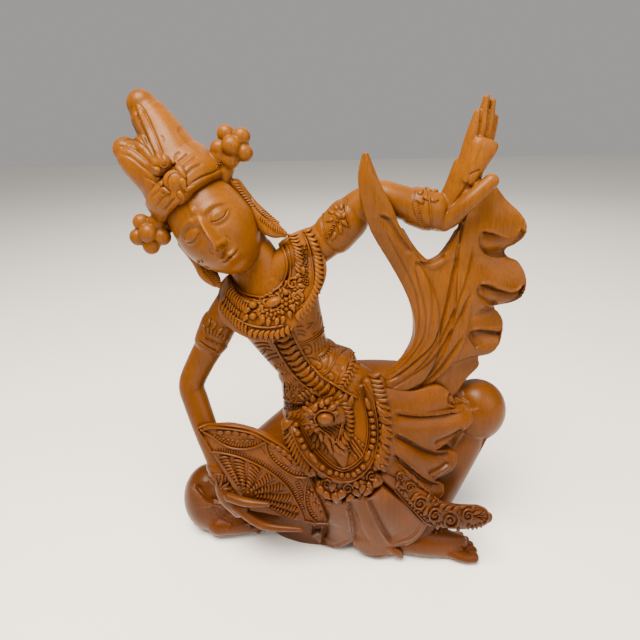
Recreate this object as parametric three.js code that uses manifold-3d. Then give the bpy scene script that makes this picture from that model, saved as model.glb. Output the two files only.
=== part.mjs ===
// A wooden carving of a legong dancer: one solid block of pale hardwood, carved all round.
// She half kneels, her right knee on the ground and her left knee raised, leaning over a fan in her
// right hand while her left hand lifts a long scarf. Millimetres, +Z up, the viewer stands at -Y.
// Left and right in the names are the dancer's own.
import * as THREE from "three";
import { mergeVertices } from "three/addons/utils/BufferGeometryUtils.js";
import Module from "manifold-3d";

// Driving dimensions
const figureHeight = 340; // floor to the tip of the crown
const drawnHeight = 340; // the height at which the stations below are written
const headCentre = [-74, -5, 259]; // middle of the skull, at the height of the temples
const headLean = 36; // degrees, towards the fan
const headTurn = 6; // degrees, towards the raised hand
const headBow = -8; // degrees, forwards
const clothThickness = 5;
const floorCut = 60; // depth of the block that is sawn away under the floor
const mostTriangles = 9800; // of the finished solid
const centreShift = [2.1, 4.8, 0]; // from the drawing's zero to the middle of the base

const towardsViewer = new THREE.Vector3(0, -1, 0);
const point = ([x, y, z]) => new THREE.Vector3(x, y, z);
const curveThrough = (places) => new THREE.CatmullRomCurve3(places.map(point));
const turn = 2 * Math.PI;

// Moves every vertex of a closed geometry to the place that a function gives it
function shaped(geometry, place) {
  const position = geometry.getAttribute("position");
  const from = new THREE.Vector3();
  for (let i = 0; i < position.count; i += 1) {
    const to = place(from.fromBufferAttribute(position, i));
    position.setXYZ(i, to.x, to.y, to.z);
  }
  return geometry;
}

// A round-ended limb through stations [x, y, z, half width, half depth].
// beads = {count, depth} swells and pinches it like a string of beads.
function limb(stations, { sides = 10, steps = 2, capRings = 2, beads = null } = {}) {
  const centre = curveThrough(stations);
  const size = curveThrough(stations.map(([, , , wide, deep = wide]) => [wide, deep, 0]));
  const bodyRings = beads ? 2 * beads.count : steps * (stations.length - 1);
  const rings = bodyRings + 2 * capRings;
  return shaped(new THREE.CylinderGeometry(1, 1, 1, sides, rings), (p) => {
    const ring = Math.round((p.y + 0.5) * rings) - capRings;
    const t = THREE.MathUtils.clamp(ring / bodyRings, 0, 1);
    const beyond = ring < 0 ? ring : Math.max(0, ring - bodyRings);
    const tuck = (beyond / (capRings + 0.6)) * (turn / 4);
    const pinch = beads && ring % 2 === 0 ? 1 - beads.depth : 1;
    const radius = size.getPoint(t).multiplyScalar(pinch);
    const forward = centre.getTangent(t);
    const across = new THREE.Vector3().crossVectors(forward, towardsViewer).normalize();
    const outward = new THREE.Vector3().crossVectors(across, forward);
    return centre
      .getPoint(t)
      .addScaledVector(across, p.x * radius.x * Math.cos(tuck))
      .addScaledVector(outward, p.z * radius.y * Math.cos(tuck))
      .addScaledVector(forward, Math.min(radius.x, radius.y) * Math.sin(tuck));
  });
}

// A sheet of even thickness between two edges; rise(u, v) lifts it towards the viewer,
// u running along the edges and v across from the first to the second.
function sheet(
  edgeA,
  edgeB,
  { along = 10, across = 5, thickness = clothThickness, rise = () => 0 } = {},
) {
  const a = curveThrough(edgeA);
  const b = curveThrough(edgeB);
  const inside = (t) => THREE.MathUtils.clamp(t, 0.02, 0.98);
  const flat = (u, v) => a.getPoint(u).lerp(b.getPoint(u), v);
  const facing = (u, v) => {
    const [s, t, h] = [inside(u), inside(v), 0.01];
    const alongIt = flat(s + h, t).sub(flat(s - h, t));
    const acrossIt = flat(s, t + h).sub(flat(s, t - h));
    const normal = alongIt.cross(acrossIt).normalize();
    return normal.y > 0 ? normal.negate() : normal;
  };
  return shaped(new THREE.BoxGeometry(1, 1, 1, along, across, 1), (p) => {
    const [u, v] = [p.x + 0.5, p.y + 0.5];
    return flat(u, v).addScaledVector(facing(u, v), rise(u, v) + p.z * thickness);
  });
}

const ball = ([x, y, z], [rx, ry, rz], across = 8, down = 6) =>
  new THREE.SphereGeometry(1, across, down).rotateX(turn / 4).scale(rx, ry, rz).translate(x, y, z);

// A round flower seen from the front, its outline drawn in by a notch between each two petals
const flower = ([x, y, z], { petals, radius, depth }) =>
  shaped(new THREE.SphereGeometry(1, 4 * petals, 5).rotateX(turn / 4).rotateX(turn / 4), (p) => {
    const petal = 0.72 + 0.28 * Math.abs(Math.cos((petals / 2) * Math.atan2(p.z, p.x)));
    return new THREE.Vector3(x + radius * petal * p.x, y + depth * p.y, z + radius * petal * p.z);
  });

// Head, crown and ear ornaments, drawn upright about the middle of the skull:
// x to the dancer's left, z towards the crown, the face at -y.
function headPieces() {
  const chinHeight = -33;
  const eyeHeight = 3;
  const noseBase = -13;
  const mouthHeight = -19.5;
  const bandHeight = 18;
  const skull = shaped(new THREE.SphereGeometry(1, 14, 12).rotateX(turn / 4), (p) => {
    const low = Math.max(0, -p.z);
    const jaw = 1 - 0.16 * low ** 1.5;
    return new THREE.Vector3(25.5 * p.x * jaw, 1 + 26 * p.y * (1 - 0.1 * low), -chinHeight * p.z);
  });
  const nose = limb(
    [[0, -23.8, eyeHeight + 5, 2], [0, -27, -5, 2.6], [0, -28, noseBase + 3, 4.2, 3.6]],
    { sides: 6 },
  );
  const lids = [-1, 1].map((side) => ball([side * 10, -21.5, eyeHeight], [6.6, 4, 4], 8, 5));
  const lips = [0, -3.4].map((down) =>
    limb(
      [
        [-6, -17.2, mouthHeight + down, 1.8], [0, -18.8, mouthHeight + down, 2.8],
        [6, -17.2, mouthHeight + down, 1.8],
      ],
      { sides: 6 },
    ),
  );

  // the cap rises over its band into two round lobes; its folds run down to the leaf at the brow
  const cap = limb(
    [
      [0, 0.5, bandHeight - 4, 26.6, 27.4], [0, 1, bandHeight + 2, 28, 28.6], [0, 2, 29, 28, 27],
      [0, 2, 39, 26, 23], [-1.5, 1, 50, 22, 18], [-2, 1, 57, 19, 14],
    ],
    { sides: 14 },
  );
  const bandPeak = limb(
    [[-17, -19, 18, 3.4, 3], [0, -27, 25, 3.6, 3], [17, -19, 18, 3.4, 3]],
    { sides: 5 },
  );
  const tallLobe = limb(
    [[9, 3, 44, 13, 14], [9.4, 3, 62, 11.4, 13], [9.8, 3, 79, 10, 11], [10, 2, 84.7, 8, 8.6]],
    { sides: 10, capRings: 2 },
  );
  const lowLobe = limb(
    [[-10, 0, 42, 13.5, 14], [-13, -1, 56, 10, 12], [-14, -1, 67, 8.8, 10], [-14.5, -1, 70, 7, 8]],
    { sides: 10, capRings: 2 },
  );
  const folds = [
    [[1, -21, 42], [7.5, -13.5, 56], [9.5, -9, 75]],
    [[-4, -20, 43], [-11, -14, 53], [-14, -10.6, 66]],
  ].map(
    ([root, mid, tip]) => limb([[...root, 3.4, 2.4], [...mid, 3, 2.2], [...tip, 1.2]], { sides: 5 }),
  );
  const browBud = ball([1.5, -25, 41], [6.5, 5.5, 9], 7, 5);
  const browLeaf = ball([3, -27.5, 31.5], [6.5, 3.6, 7], 7, 4);

  const earPieces = [
    {
      heart: [38.2, -3, 30.4],
      drop: [
        [26, 3, 14, 4, 5], [25.5, 3, 0, 4, 5], [25.5, 1, -12, 6, 5], [28.5, 0, -23, 5, 4],
        [32, -1, -28, 2.4, 2.4],
      ],
    },
    {
      heart: [-33.8, -5, 21.3],
      drop: [
        [-23.5, 2, 6, 4, 5], [-22.6, 1, -8, 4.6, 5], [-23, 0, -18, 6.2, 4.5], [-22.4, -1, -26, 4, 3.6],
        [-22, -1, -29, 2, 2],
      ],
    },
  ].flatMap(({ heart, drop }) => [
    flower(heart, { petals: 5, radius: 14, depth: 6 }),
    ball([heart[0], heart[1] - 4.5, heart[2]], [5.8, 5, 5.8], 7, 4),
    limb([[Math.sign(heart[0]) * 20, 0, 18, 7], [...heart.slice(0, 2), heart[2] - 3, 6]], { sides: 6 }),
    limb(drop, { sides: 6 }),
  ]);

  const lean = new THREE.Matrix4().makeRotationFromEuler(
    new THREE.Euler(
      THREE.MathUtils.degToRad(headBow),
      THREE.MathUtils.degToRad(-headLean),
      THREE.MathUtils.degToRad(headTurn),
      "YXZ",
    ),
  );
  lean.setPosition(point(headCentre));
  const pieces = [
    skull,
    nose,
    ...lids,
    ...lips,
    cap,
    bandPeak,
    tallLobe,
    lowLobe,
    ...folds,
    browBud,
    browLeaf,
    ...earPieces,
  ];
  return pieces.map((piece) => piece.applyMatrix4(lean));
}

function torsoPieces() {
  const trunk = limb(
    [
      [1, 4, 84, 42, 25],
      [-2, 4, 112, 40, 26],
      [-8, 3, 136, 33, 22],
      [-17, 1, 154, 21.5, 16],
      [-26.6, 0, 169, 22, 17],
      [-34, -1, 187, 27, 19],
      [-41, -1, 205, 30, 19],
      [-46, 0, 220, 23, 14],
    ],
    { sides: 16 },
  );
  const shoulders = limb(
    [[-71, 2, 205, 11.5, 11.5], [-46, 2, 221, 14, 14], [-14, 1, 243, 12.5, 12]],
    { sides: 10, steps: 2 },
  );
  const neck = limb(
    [[-44, 4, 219, 18, 12], [-53, 4, 234, 16, 11.5], [-61, 3, 246, 17, 13]],
    { sides: 12 },
  );
  return [trunk, shoulders, neck];
}

// Collar of carved leaves on the shoulders, two bands round the bodice and the sash of feathers
function bodicePieces() {
  const leafCount = 9;
  const fade = (u) => Math.min(1, 7 * u, 7 * (1 - u));
  const scalloped = (u, v) => {
    const edge = v > 0.9 ? 1.6 * Math.cos(turn * leafCount * u) : v;
    return (edge + 2.4 * Math.sin(Math.PI * v * 0.8)) * fade(u);
  };
  const front = sheet(
    [[-70, 1, 225], [-65, -13, 218], [-50, -18, 214], [-36, -16, 219], [-29, -10, 231], [-36, 1, 245]],
    [[-79, 3, 211], [-73, -12, 197], [-46, -23, 188], [-23, -21, 201], [-5, -13, 230], [-13, 2, 257]],
    { along: 18, across: 2, thickness: 5, rise: scalloped },
  );
  const back = sheet(
    [[-70, 0, 225], [-60, 14, 227], [-46, 17, 231], [-36, 14, 239], [-36, 0, 245]],
    [[-79, 2, 211], [-70, 15, 203], [-44, 21, 203], [-16, 17, 226], [-13, 1, 257]],
    { along: 8, across: 2, thickness: 5, rise: (u, v) => -2.4 * Math.sin(Math.PI * v) },
  );
  const rim = limb(
    [
      [-70.5, -3, 227, 1.8], [-65, -15, 217, 2], [-50, -20.5, 212.5, 2.2], [-36, -18, 218, 2],
      [-28, -11, 231, 2], [-35, -2, 248, 1.8],
    ],
    { sides: 4, steps: 2 },
  );
  const bodiceBand = limb([[-28.5, 0, 172.5, 24, 18.4], [-30, 0, 176, 25, 19]], { sides: 12 });
  const sash = limb(
    [
      [-41, -20, 190, 6.5, 3.6], [-32, -18.5, 172, 6.5, 3.6], [-21, -18, 155, 6.5, 4],
      [-9, -23, 143, 7, 4],
    ],
    { sides: 5, beads: { count: 7, depth: 0.3 } },
  );
  return [front, back, rim, sash, bodiceBand];
}

function armPieces() {
  const rightArm = [
    [-71, 2, 205, 11.5, 11.5],
    [-79, 2, 194, 11, 10.5],
    [-87.5, 1, 177, 10.6, 9.6],
    [-98.5, 0, 159, 9.6, 8.8],
    [-106, -3, 143, 9.2, 8.4],
    [-103.2, -7, 130, 9.2, 8.2],
    [-96, -15, 109, 9, 7.6],
    [-89.8, -21, 89, 7.6, 6.8],
    [-86, -25, 72, 6.8, 6],
  ];
  const leftArm = [
    [-14, 1, 243, 12.5, 12],
    [1, 0, 254, 12.2, 11],
    [13, 0, 267, 11.4, 10.5],
    [27, -2, 276, 10.4, 10.5],
    [38.9, -4, 273.8, 10.4, 10.4],
    [50.3, -5, 270.7, 10.2, 10.2],
    [60, -6, 267.5, 10, 9.5],
  ];
  const bands = [
    [[-82, 2, 189, 13.2, 12.2], [-88.5, 1, 176.5, 12.2, 11.4]],
    [[-89, -22, 84, 9, 8.4], [-87, -24, 77, 8.8, 8.2]],
    [[0, 0, 253, 14.6, 13], [9, 0, 262.5, 14.4, 13]],
    [[51, -5, 270.5, 13, 12.4], [59, -6, 268, 13.4, 12.6]],
  ].map((stations) => limb(stations, { sides: 9 }));
  return [limb(rightArm, { sides: 9 }), limb(leftArm, { sides: 9 }), ...bands];
}

function handPieces() {
  const finger = (from, middle, to, thick) =>
    limb([[...from, thick], [...middle, thick * 0.95], [...to, thick * 0.55]], { sides: 5 });
  const leftPalm = limb(
    [[60, -6, 266, 9.5, 8.5], [69, -5, 265.5, 10.5, 8], [76, -5, 276, 10.5, 7], [81, -5, 294, 9.5, 6]],
    { sides: 8 },
  );
  const leftFingers = [
    finger([78, -7, 300], [80.5, -7, 314], [82.5, -7, 327], 3.4),
    finger([82, -5, 301], [85, -5, 317], [87, -5, 334], 3.5),
    finger([86, -2, 300], [89.5, -2, 316], [91.5, -2, 332], 3.4),
    finger([88, 1, 297], [93, 1, 309], [96, 1, 322], 3),
    finger([83, -11, 290], [88, -12, 302], [95.5, -11, 310], 4.2),
    finger([70, -10, 262], [80, -14, 275], [92, -13, 290], 5),
  ];
  const rightPalm = limb(
    [[-86, -26, 70, 6.5, 6], [-82, -31, 61, 7.5, 5.5], [-72, -35, 53, 8.5, 5]],
    { sides: 7 },
  );
  const rightFingers = [
    finger([-76, -35, 56], [-55, -37.5, 43], [-27, -39, 40.5], 3.8),
    finger([-80, -35, 66], [-66, -40, 66], [-50, -41, 65], 3.4),
  ];
  return [leftPalm, ...leftFingers, rightPalm, ...rightFingers];
}

// The open fan: a raised rim round seven feather panels
function fanPieces() {
  const panels = 7;
  const relief = (u, v) => (v > 0.7 ? 0.8 : 1.4 * Math.abs(Math.sin(Math.PI * panels * u)) - 0.7);
  const leaves = sheet(
    [[-74, -32, 70], [-71, -33.5, 68], [-68, -34.5, 65], [-64, -35.5, 62], [-61, -36, 58]],
    [[-101, -20, 118], [-72, -24, 122], [-43, -28.5, 111.5], [-19, -33.5, 84.5], [-6, -38, 42]],
    { along: 14, across: 4, thickness: 6, rise: relief },
  );
  return [leaves];
}

function legPieces() {
  const rightThigh = limb(
    [[-20, 5, 98, 26, 24], [-60, 5, 66, 22, 22], [-96, 4, 38, 20, 20]],
    { sides: 10 },
  );
  const rightKnee = ball([-105.5, 4, 27], [23, 23, 31], 10, 8);
  const rightCalf = limb(
    [[-98, -2, 14, 15, 20], [-70, 2, 14, 14, 20], [-40, 4, 16, 14, 18]],
    { sides: 8 },
  );
  const leftThigh = limb(
    [[0, 8, 126, 27, 24], [48, 10, 126, 25, 21], [86, 8, 118, 21, 19], [103, 5, 115, 20, 19]],
    { sides: 10 },
  );
  const leftKnee = ball([106.5, 3, 114], [22.5, 20, 25], 10, 8);
  const leftShin = limb(
    [[102, 3, 104, 20, 14], [90, -5, 76, 18.5, 12], [76, -15, 44, 16, 10], [64, -26, 18, 12, 10]],
    { sides: 8 },
  );
  const leftFoot = limb(
    [[56, -24, 13, 13.6, 13], [76, -28, 13, 13.6, 13], [90, -30, 12.5, 13.2, 11], [98, -31, 11, 11.4, 8]],
    { sides: 8 },
  );
  const toeCount = 4;
  const toes = Array.from(
    { length: toeCount },
    (_, i) => ball([105 - 0.6 * i, -36 + 5 * i, 5.2], [5.4, 3, 5.6], 5, 4),
  );
  return [rightThigh, rightKnee, rightCalf, leftThigh, leftKnee, leftShin, leftFoot, ...toes];
}

// The long scarf: one end wraps the raised forearm, the other is lifted by the hand and falls in ruffles
function scarfPieces() {
  const strand = sheet(
    [
      [28.5, -16, 149], [39.3, -15, 160], [48, -13, 171], [53, -12, 185.5], [51.4, -11, 202],
      [45, -11, 219], [35.3, -12, 237], [24.8, -14, 254], [19.2, -16, 266.4], [15.5, -17, 278],
      [14.2, -17, 291], [16.4, -16, 303.5],
    ],
    [
      [34.6, -16, 135.5], [50, -14, 140], [62, -12, 152], [69, -11, 170], [70, -11, 189],
      [66.4, -11, 211], [58.7, -12, 228], [48.5, -13, 248], [40, -15, 261], [34.2, -16, 274],
      [26.5, -17, 288], [19.5, -16, 304],
    ],
    { along: 13, across: 2, thickness: 8, rise: (u, v) => 2.4 * Math.sin(Math.PI * v) },
  );
  const wrapEdge = limb(
    [[20, -19, 281, 2.4], [27, -19, 268, 3], [36, -16, 257, 2.6], [50, -13, 243, 2]],
    { sides: 4, steps: 2 },
  );
  const web = sheet(
    [[40, -13, 140], [58, -11, 158], [66, -11, 178], [66, -10, 205], [58, -9, 233]],
    [[60, -11, 138], [84, -9, 168], [90, -7, 200], [82, -6, 232], [77.5, -5, 256]],
    { along: 5, across: 2, thickness: 6, rise: (u, v) => -13 * u * v * (1 - v) },
  );
  const folds = 2;
  const ruffles = 3.6;
  const ruffleDepth = 7;
  const fall = sheet(
    [
      [34, -16, 136], [60, -12, 150], [76, -10, 176], [80, -8, 205], [79, -6, 232], [79, -5, 258],
      [86, -4, 274], [93, -4, 285],
    ],
    [
      [78, -6, 127], [95, -2, 142], [103, 0, 160], [115, 1, 178], [116, 1, 192], [124, 1, 218],
      [118, 1, 236], [119, 0, 258], [98, -3, 286],
    ],
    {
      along: 20,
      across: 6,
      thickness: 6,
      rise: (u, v) =>
        1.5 * Math.cos(turn * folds * v) * (1 - v) +
        ruffleDepth * v ** 2 * Math.cos(turn * ruffles * u) * Math.min(1, 3 * u, 5 * (1 - u)),
    },
  );
  return [strand, wrapEdge, web, fall];
}

// Skirt: four pleats thrown over the raised thigh, and a fan of pleats down to the floor
function skirtPieces() {
  const pleat = (upper, lower, lift) =>
    sheet(upper, lower, {
      along: 3,
      across: 3,
      thickness: 9,
      rise: (u, v) => lift * Math.sin(Math.PI * (0.15 + 0.8 * v)) * (0.4 + 0.6 * u) - 2,
    });
  const thrown = [
    pleat(
      [[30, -24, 140], [56, -16, 134], [82, -9, 131]],
      [[36, -28, 132], [60, -18, 122], [88, -9, 122]],
      3,
    ),
    pleat(
      [[34, -26, 134], [64, -17, 123], [96, -9, 125]],
      [[40, -30, 114], [62, -20, 99], [84, -13, 94]],
      4.5,
    ),
    pleat(
      [[38, -29, 116], [62, -19, 99], [84, -12, 88]],
      [[40, -33, 100], [58, -25, 80], [76, -17, 66]],
      4.5,
    ),
    pleat(
      [[38, -33, 100], [58, -25, 80], [81, -16, 64]],
      [[38, -36, 90], [54, -31, 70], [74, -22, 50]],
      3,
    ),
  ];
  const backing = limb(
    [[26, -4, 104, 34, 15], [56, -6, 88, 34, 12], [80, -6, 76, 26, 9]],
    { sides: 8 },
  );
  // each hem point is [x, y] on the floor; the pleats meet under the apron
  const hem = [[-78, 6], [-46, -1], [-21, -8], [11, -17], [44, -25]];
  const waist = [[-44, -12, 96], [-24, -22, 86], [-8, -32, 76], [12, -36, 70], [32, -33, 80]];
  const bulge = [5, 9, 12, 11];
  const seam = (i) => [
    waist[i],
    waist[i].map((value, axis) => (value + [...hem[i], -1][axis]) / 2),
    [...hem[i], -1],
  ];
  const fallen = bulge.map((lift, i) =>
    sheet(
      seam(i),
      seam(i + 1),
      { along: 3, across: 4, thickness: 12, rise: (u, v) => lift * Math.sin(Math.PI * v) * u - 2 },
    ),
  );
  const sidePleat = sheet(
    [[32, -34, 82], [41, -33, 48], [42, -31, 9]],
    [[40, -38, 84], [55, -39, 60], [65, -36, 30]],
    { along: 3, across: 2, thickness: 8, rise: (u, v) => 2 * Math.sin(Math.PI * v) },
  );
  const lap = limb(
    [[0, 3, 116, 38, 27], [0, -3, 82, 38, 29], [-6, 0, 44, 42, 28], [-10, 4, 2, 50, 26]],
    { sides: 12 },
  );
  const seat = limb([[-84, 14, 24, 16, 16], [-14, 16, 34, 34, 22], [40, 0, 30, 26, 26]], { sides: 9 });
  return [...thrown, backing, ...fallen, sidePleat, lap, seat];
}

// Belt, apron with its bead loop and leaf border, medallion, and the scrolled tail of the sash
function ornamentPieces() {
  const belt = limb([[-18.5, 1, 156, 25.5, 19.5], [-13, 2, 147.5, 32, 23.5]], { sides: 12 });
  const apron = sheet(
    [[-36, -16, 130], [-26, -26, 102], [-12, -34, 80], [4, -36, 70]],
    [[30, -16, 152], [40, -26, 118], [36, -33, 92], [20, -36, 74]],
    { along: 5, across: 4, thickness: 10, rise: (u, v) => 3.5 * Math.sin(Math.PI * v) - 1 },
  );
  const beadLoop = limb(
    [
      [-38, -19, 122, 3], [-26, -31, 99, 3], [-12, -38, 78, 3], [4, -40, 68, 3], [23, -40, 75, 3],
      [35, -38, 90, 3], [41, -34, 108, 3], [38, -29, 130, 3], [30, -23, 148, 3],
    ],
    { sides: 4, beads: { count: 13, depth: 0.3 } },
  );
  const leafChains = [
    [
      [32, -20, 152, 4, 3.4], [42, -27, 136, 5.5, 3.6], [47, -33, 116, 6, 3.6],
      [46, -37, 98, 5.5, 3.4], [39, -39, 84, 4, 3],
    ],
    [[-43, -17, 122, 4, 3], [-38, -27, 104, 5.5, 3.4], [-26, -35, 82, 5, 3.4]],
  ].map((stations, i) => limb(stations, { sides: 5, beads: { count: i ? 4 : 6, depth: 0.35 } }));
  const scrollEdge = limb(
    [[-24, -37, 78, 6, 4], [-8, -40, 66, 8, 4], [10, -42, 61, 8, 4], [26, -41, 68, 7, 4]],
    { sides: 5, beads: { count: 5, depth: 0.3 } },
  );
  const medallion = ball([-7, -40, 134], [7, 4, 5.5], 8, 5);
  const petals = flower([-7, -35, 134], { petals: 7, radius: 15, depth: 5 });
  const pendant = limb([[-3, -36, 124, 9, 4], [2, -38, 110, 7, 4], [5, -39, 98, 3, 3]], { sides: 5 });
  const tailRun = [
    [34, -36, 88, 6, 4], [52, -37.5, 71, 8, 4], [68, -38, 55, 11, 4], [86, -38, 48, 12, 4],
    [103, -38, 48, 11, 4],
  ];
  const tail = limb(tailRun, { sides: 6, capRings: 2 });
  const scrollCount = 3;
  const tailCurve = curveThrough(tailRun);
  const scrolls = Array.from({ length: scrollCount }, (_, i) => {
    const at = tailCurve.getPoint(0.4 + (0.55 * i) / (scrollCount - 1));
    return new THREE.TorusGeometry(5.4, 2, 3, 7).rotateX(turn / 4).translate(at.x, at.y - 3.6, at.z);
  });
  return [
    belt,
    apron,
    beadLoop,
    ...leafChains,
    scrollEdge,
    medallion,
    petals,
    pendant,
    tail,
    ...scrolls,
  ];
}

// A closed geometry as a solid, its faces turned outwards
function solidFrom(wasm, geometry) {
  const bare = geometry.clone();
  bare.deleteAttribute("normal");
  bare.deleteAttribute("uv");
  const welded = mergeVertices(bare, 1e-4);
  const places = welded.attributes.position.array;
  const corners = new Uint32Array(welded.index.array);
  const [a, b, c] = [new THREE.Vector3(), new THREE.Vector3(), new THREE.Vector3()];
  let volume = 0;
  for (let i = 0; i < corners.length; i += 3) {
    a.fromArray(places, 3 * corners[i]);
    b.fromArray(places, 3 * corners[i + 1]);
    c.fromArray(places, 3 * corners[i + 2]);
    volume += a.dot(b.cross(c));
  }
  const insideOut = volume < 0;
  for (let i = 0; insideOut && i < corners.length; i += 3) {
    [corners[i + 1], corners[i + 2]] = [corners[i + 2], corners[i + 1]];
  }
  return new wasm.Manifold(new wasm.Mesh({ numProp: 3, vertProperties: places, triVerts: corners }));
}

// The largest closed shell of a solid, so that spaces sealed inside the wood are filled
function outerShell({ vertProperties, triVerts, numProp }) {
  const owner = Array.from({ length: vertProperties.length / numProp }, (_, i) => i);
  const rootOf = (i) => {
    while (owner[i] !== i) i = owner[i] = owner[owner[i]];
    return i;
  };
  for (let i = 0; i < triVerts.length; i += 3) {
    owner[rootOf(triVerts[i])] = rootOf(triVerts[i + 1]);
    owner[rootOf(triVerts[i + 1])] = rootOf(triVerts[i + 2]);
  }
  const counts = new Map();
  for (const corner of triVerts) counts.set(rootOf(corner), (counts.get(rootOf(corner)) ?? 0) + 1);
  const largest = [...counts].sort((one, other) => other[1] - one[1])[0][0];
  const kept = [];
  for (let i = 0; i < triVerts.length; i += 3) {
    if (rootOf(triVerts[i]) === largest) kept.push(...triVerts.slice(i, i + 3));
  }
  return new THREE.BufferGeometry()
    .setAttribute("position", new THREE.BufferAttribute(new Float32Array(vertProperties), numProp))
    .setIndex(kept);
}

// Drops the edges that shape the surface least until the mesh is within its limit. Each corner
// carries the sum of squared distances to the planes that met there, and a collapse keeps the
// mesh closed and unfolded.
function thinned(geometry, limit) {
  const position = geometry.getAttribute("position");
  const places = Array.from(
    { length: position.count },
    (_, i) => new THREE.Vector3().fromBufferAttribute(position, i),
  );
  const faces = Array.from(
    { length: geometry.index.count / 3 },
    (_, f) => [0, 1, 2].map((k) => geometry.index.getX(3 * f + k)),
  );
  const around = places.map(() => new Set());
  const planes = places.map(() => new Float64Array(10));
  const crossOf = ([a, b, c]) => b.clone().sub(a).cross(c.clone().sub(a));
  const cornersOf = (face) => face.map((v) => places[v]);
  faces.forEach((face, f) => {
    const normal = crossOf(cornersOf(face));
    const area = normal.length() / 2;
    const [x, y, z] = normal.normalize().toArray();
    const d = -normal.dot(places[face[0]]);
    const terms = [x * x, x * y, x * z, x * d, y * y, y * z, y * d, z * z, z * d, d * d];
    for (const v of face) {
      around[v].add(f);
      terms.forEach((term, i) => (planes[v][i] += term * area));
    }
  });
  const misfit = (q, { x, y, z }) => {
    const squares = q[0] * x * x + q[4] * y * y + q[7] * z * z + q[9];
    return squares + 2 * (q[1] * x * y + q[2] * x * z + q[5] * y * z + q[3] * x + q[6] * y + q[8] * z);
  };
  const neighbours = (v) => new Set([...around[v]].flatMap((f) => faces[f]));
  let left = faces.length;

  const collapse = (a, b, allowed) => {
    const sum = planes[a].map((term, i) => term + planes[b][i]);
    const choices = [places[a].clone().lerp(places[b], 0.5), places[a], places[b]];
    const place = choices.reduce((best, next) => (misfit(sum, next) < misfit(sum, best) ? next : best));
    if (misfit(sum, place) > allowed) return false;
    const besideB = neighbours(b);
    if ([...neighbours(a)].filter((v) => besideB.has(v)).length !== 4) return false;
    const going = [...around[a]].filter((f) => around[b].has(f));
    const staying = [...around[a], ...around[b]].filter((f) => !going.includes(f));
    const folds = staying.some((f) => {
      const before = crossOf(cornersOf(faces[f]));
      const after = crossOf(faces[f].map((v) => (v === a || v === b ? place : places[v])));
      return after.lengthSq() < 1e-6 || before.dot(after) < 0.3 * before.length() * after.length();
    });
    if (folds) return false;
    places[a] = place.clone();
    planes[a] = sum;
    for (const f of going) for (const v of faces[f]) around[v].delete(f);
    for (const f of around[b]) {
      faces[f] = faces[f].map((v) => (v === b ? a : v));
      around[a].add(f);
    }
    around[b].clear();
    for (const f of going) faces[f] = null;
    left -= going.length;
    return true;
  };

  for (let allowed = 1e-3; left > limit && allowed < 1e4; allowed *= 1.5) {
    const moved = new Set();
    for (let f = 0; f < faces.length && left > limit; f += 1) {
      for (let k = 0; k < 3 && faces[f]; k += 1) {
        const [a, b] = [faces[f][k], faces[f][(k + 1) % 3]];
        if (!moved.has(a) && !moved.has(b) && collapse(a, b, allowed)) moved.add(a);
      }
    }
  }
  const numbers = new Float32Array(places.flatMap((place) => place.toArray()));
  const kept = new THREE.BufferGeometry()
    .setAttribute("position", new THREE.BufferAttribute(numbers, 3))
    .setIndex(faces.filter(Boolean).flat());
  return kept;
}

async function carvedDancer() {
  const wasm = await Module();
  wasm.setup();
  const pieces = [
    ...torsoPieces(),
    ...headPieces(),
    ...bodicePieces(),
    ...armPieces(),
    ...handPieces(),
    ...fanPieces(),
    ...legPieces(),
    ...scarfPieces(),
    ...skirtPieces(),
    ...ornamentPieces(),
  ];
  let wood = solidFrom(wasm, pieces[0]);
  for (const piece of pieces.slice(1)) wood = wood.add(solidFrom(wasm, piece));
  const carved = solidFrom(wasm, thinned(outerShell(wood.getMesh()), mostTriangles));
  const wide = 2 * figureHeight;
  const below = new THREE.BoxGeometry(wide, wide, floorCut).translate(0, 0, -floorCut / 2);
  const scale = figureHeight / drawnHeight;
  return outerShell(carved.subtract(solidFrom(wasm, below)).getMesh())
    .translate(...centreShift)
    .scale(scale, scale, scale);
}

const satinWood = new THREE.MeshStandardMaterial({ color: 0xb5651d, roughness: 0.42, metalness: 0 });
const dancer = new THREE.Mesh(await carvedDancer(), satinWood);
dancer.name = "legong_dancer";

const group = new THREE.Group();
group.add(dancer);

export default group;
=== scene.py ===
import math

import bmesh
import bpy
import numpy as np
from mathutils import Matrix, Vector
from mathutils.bvhtree import BVHTree


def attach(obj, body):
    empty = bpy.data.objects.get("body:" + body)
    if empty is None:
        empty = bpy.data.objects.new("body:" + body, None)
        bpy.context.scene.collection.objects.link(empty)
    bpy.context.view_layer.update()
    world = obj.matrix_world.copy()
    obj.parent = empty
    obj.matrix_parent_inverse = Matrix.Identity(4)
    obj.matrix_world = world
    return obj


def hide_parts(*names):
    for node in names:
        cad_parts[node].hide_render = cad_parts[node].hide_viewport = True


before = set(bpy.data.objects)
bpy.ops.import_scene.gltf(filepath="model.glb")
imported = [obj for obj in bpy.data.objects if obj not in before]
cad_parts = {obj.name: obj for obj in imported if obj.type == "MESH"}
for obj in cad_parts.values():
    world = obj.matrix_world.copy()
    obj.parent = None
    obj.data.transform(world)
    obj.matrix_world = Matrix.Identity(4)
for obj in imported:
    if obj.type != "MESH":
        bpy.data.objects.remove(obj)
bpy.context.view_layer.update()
print("frame loaded")

drawing = {
    "toMetres": 0.001,
    "shift": Vector((2.1, 4.8, 0.0)),  # from the drawing's zero to the middle of the base
}

camera = {
    "frame": 640.0,  # px, both ways
    "focal": 480.0,  # px, a phone's main lens
    "sensor": 36.0,  # mm
    "place": Vector((-2.8, -305.9, 328.8)),  # mm, in the drawing
    "pitch": 24.06,  # degrees down
    "yaw": -1.40,
    "roll": -1.32,
}


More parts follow.
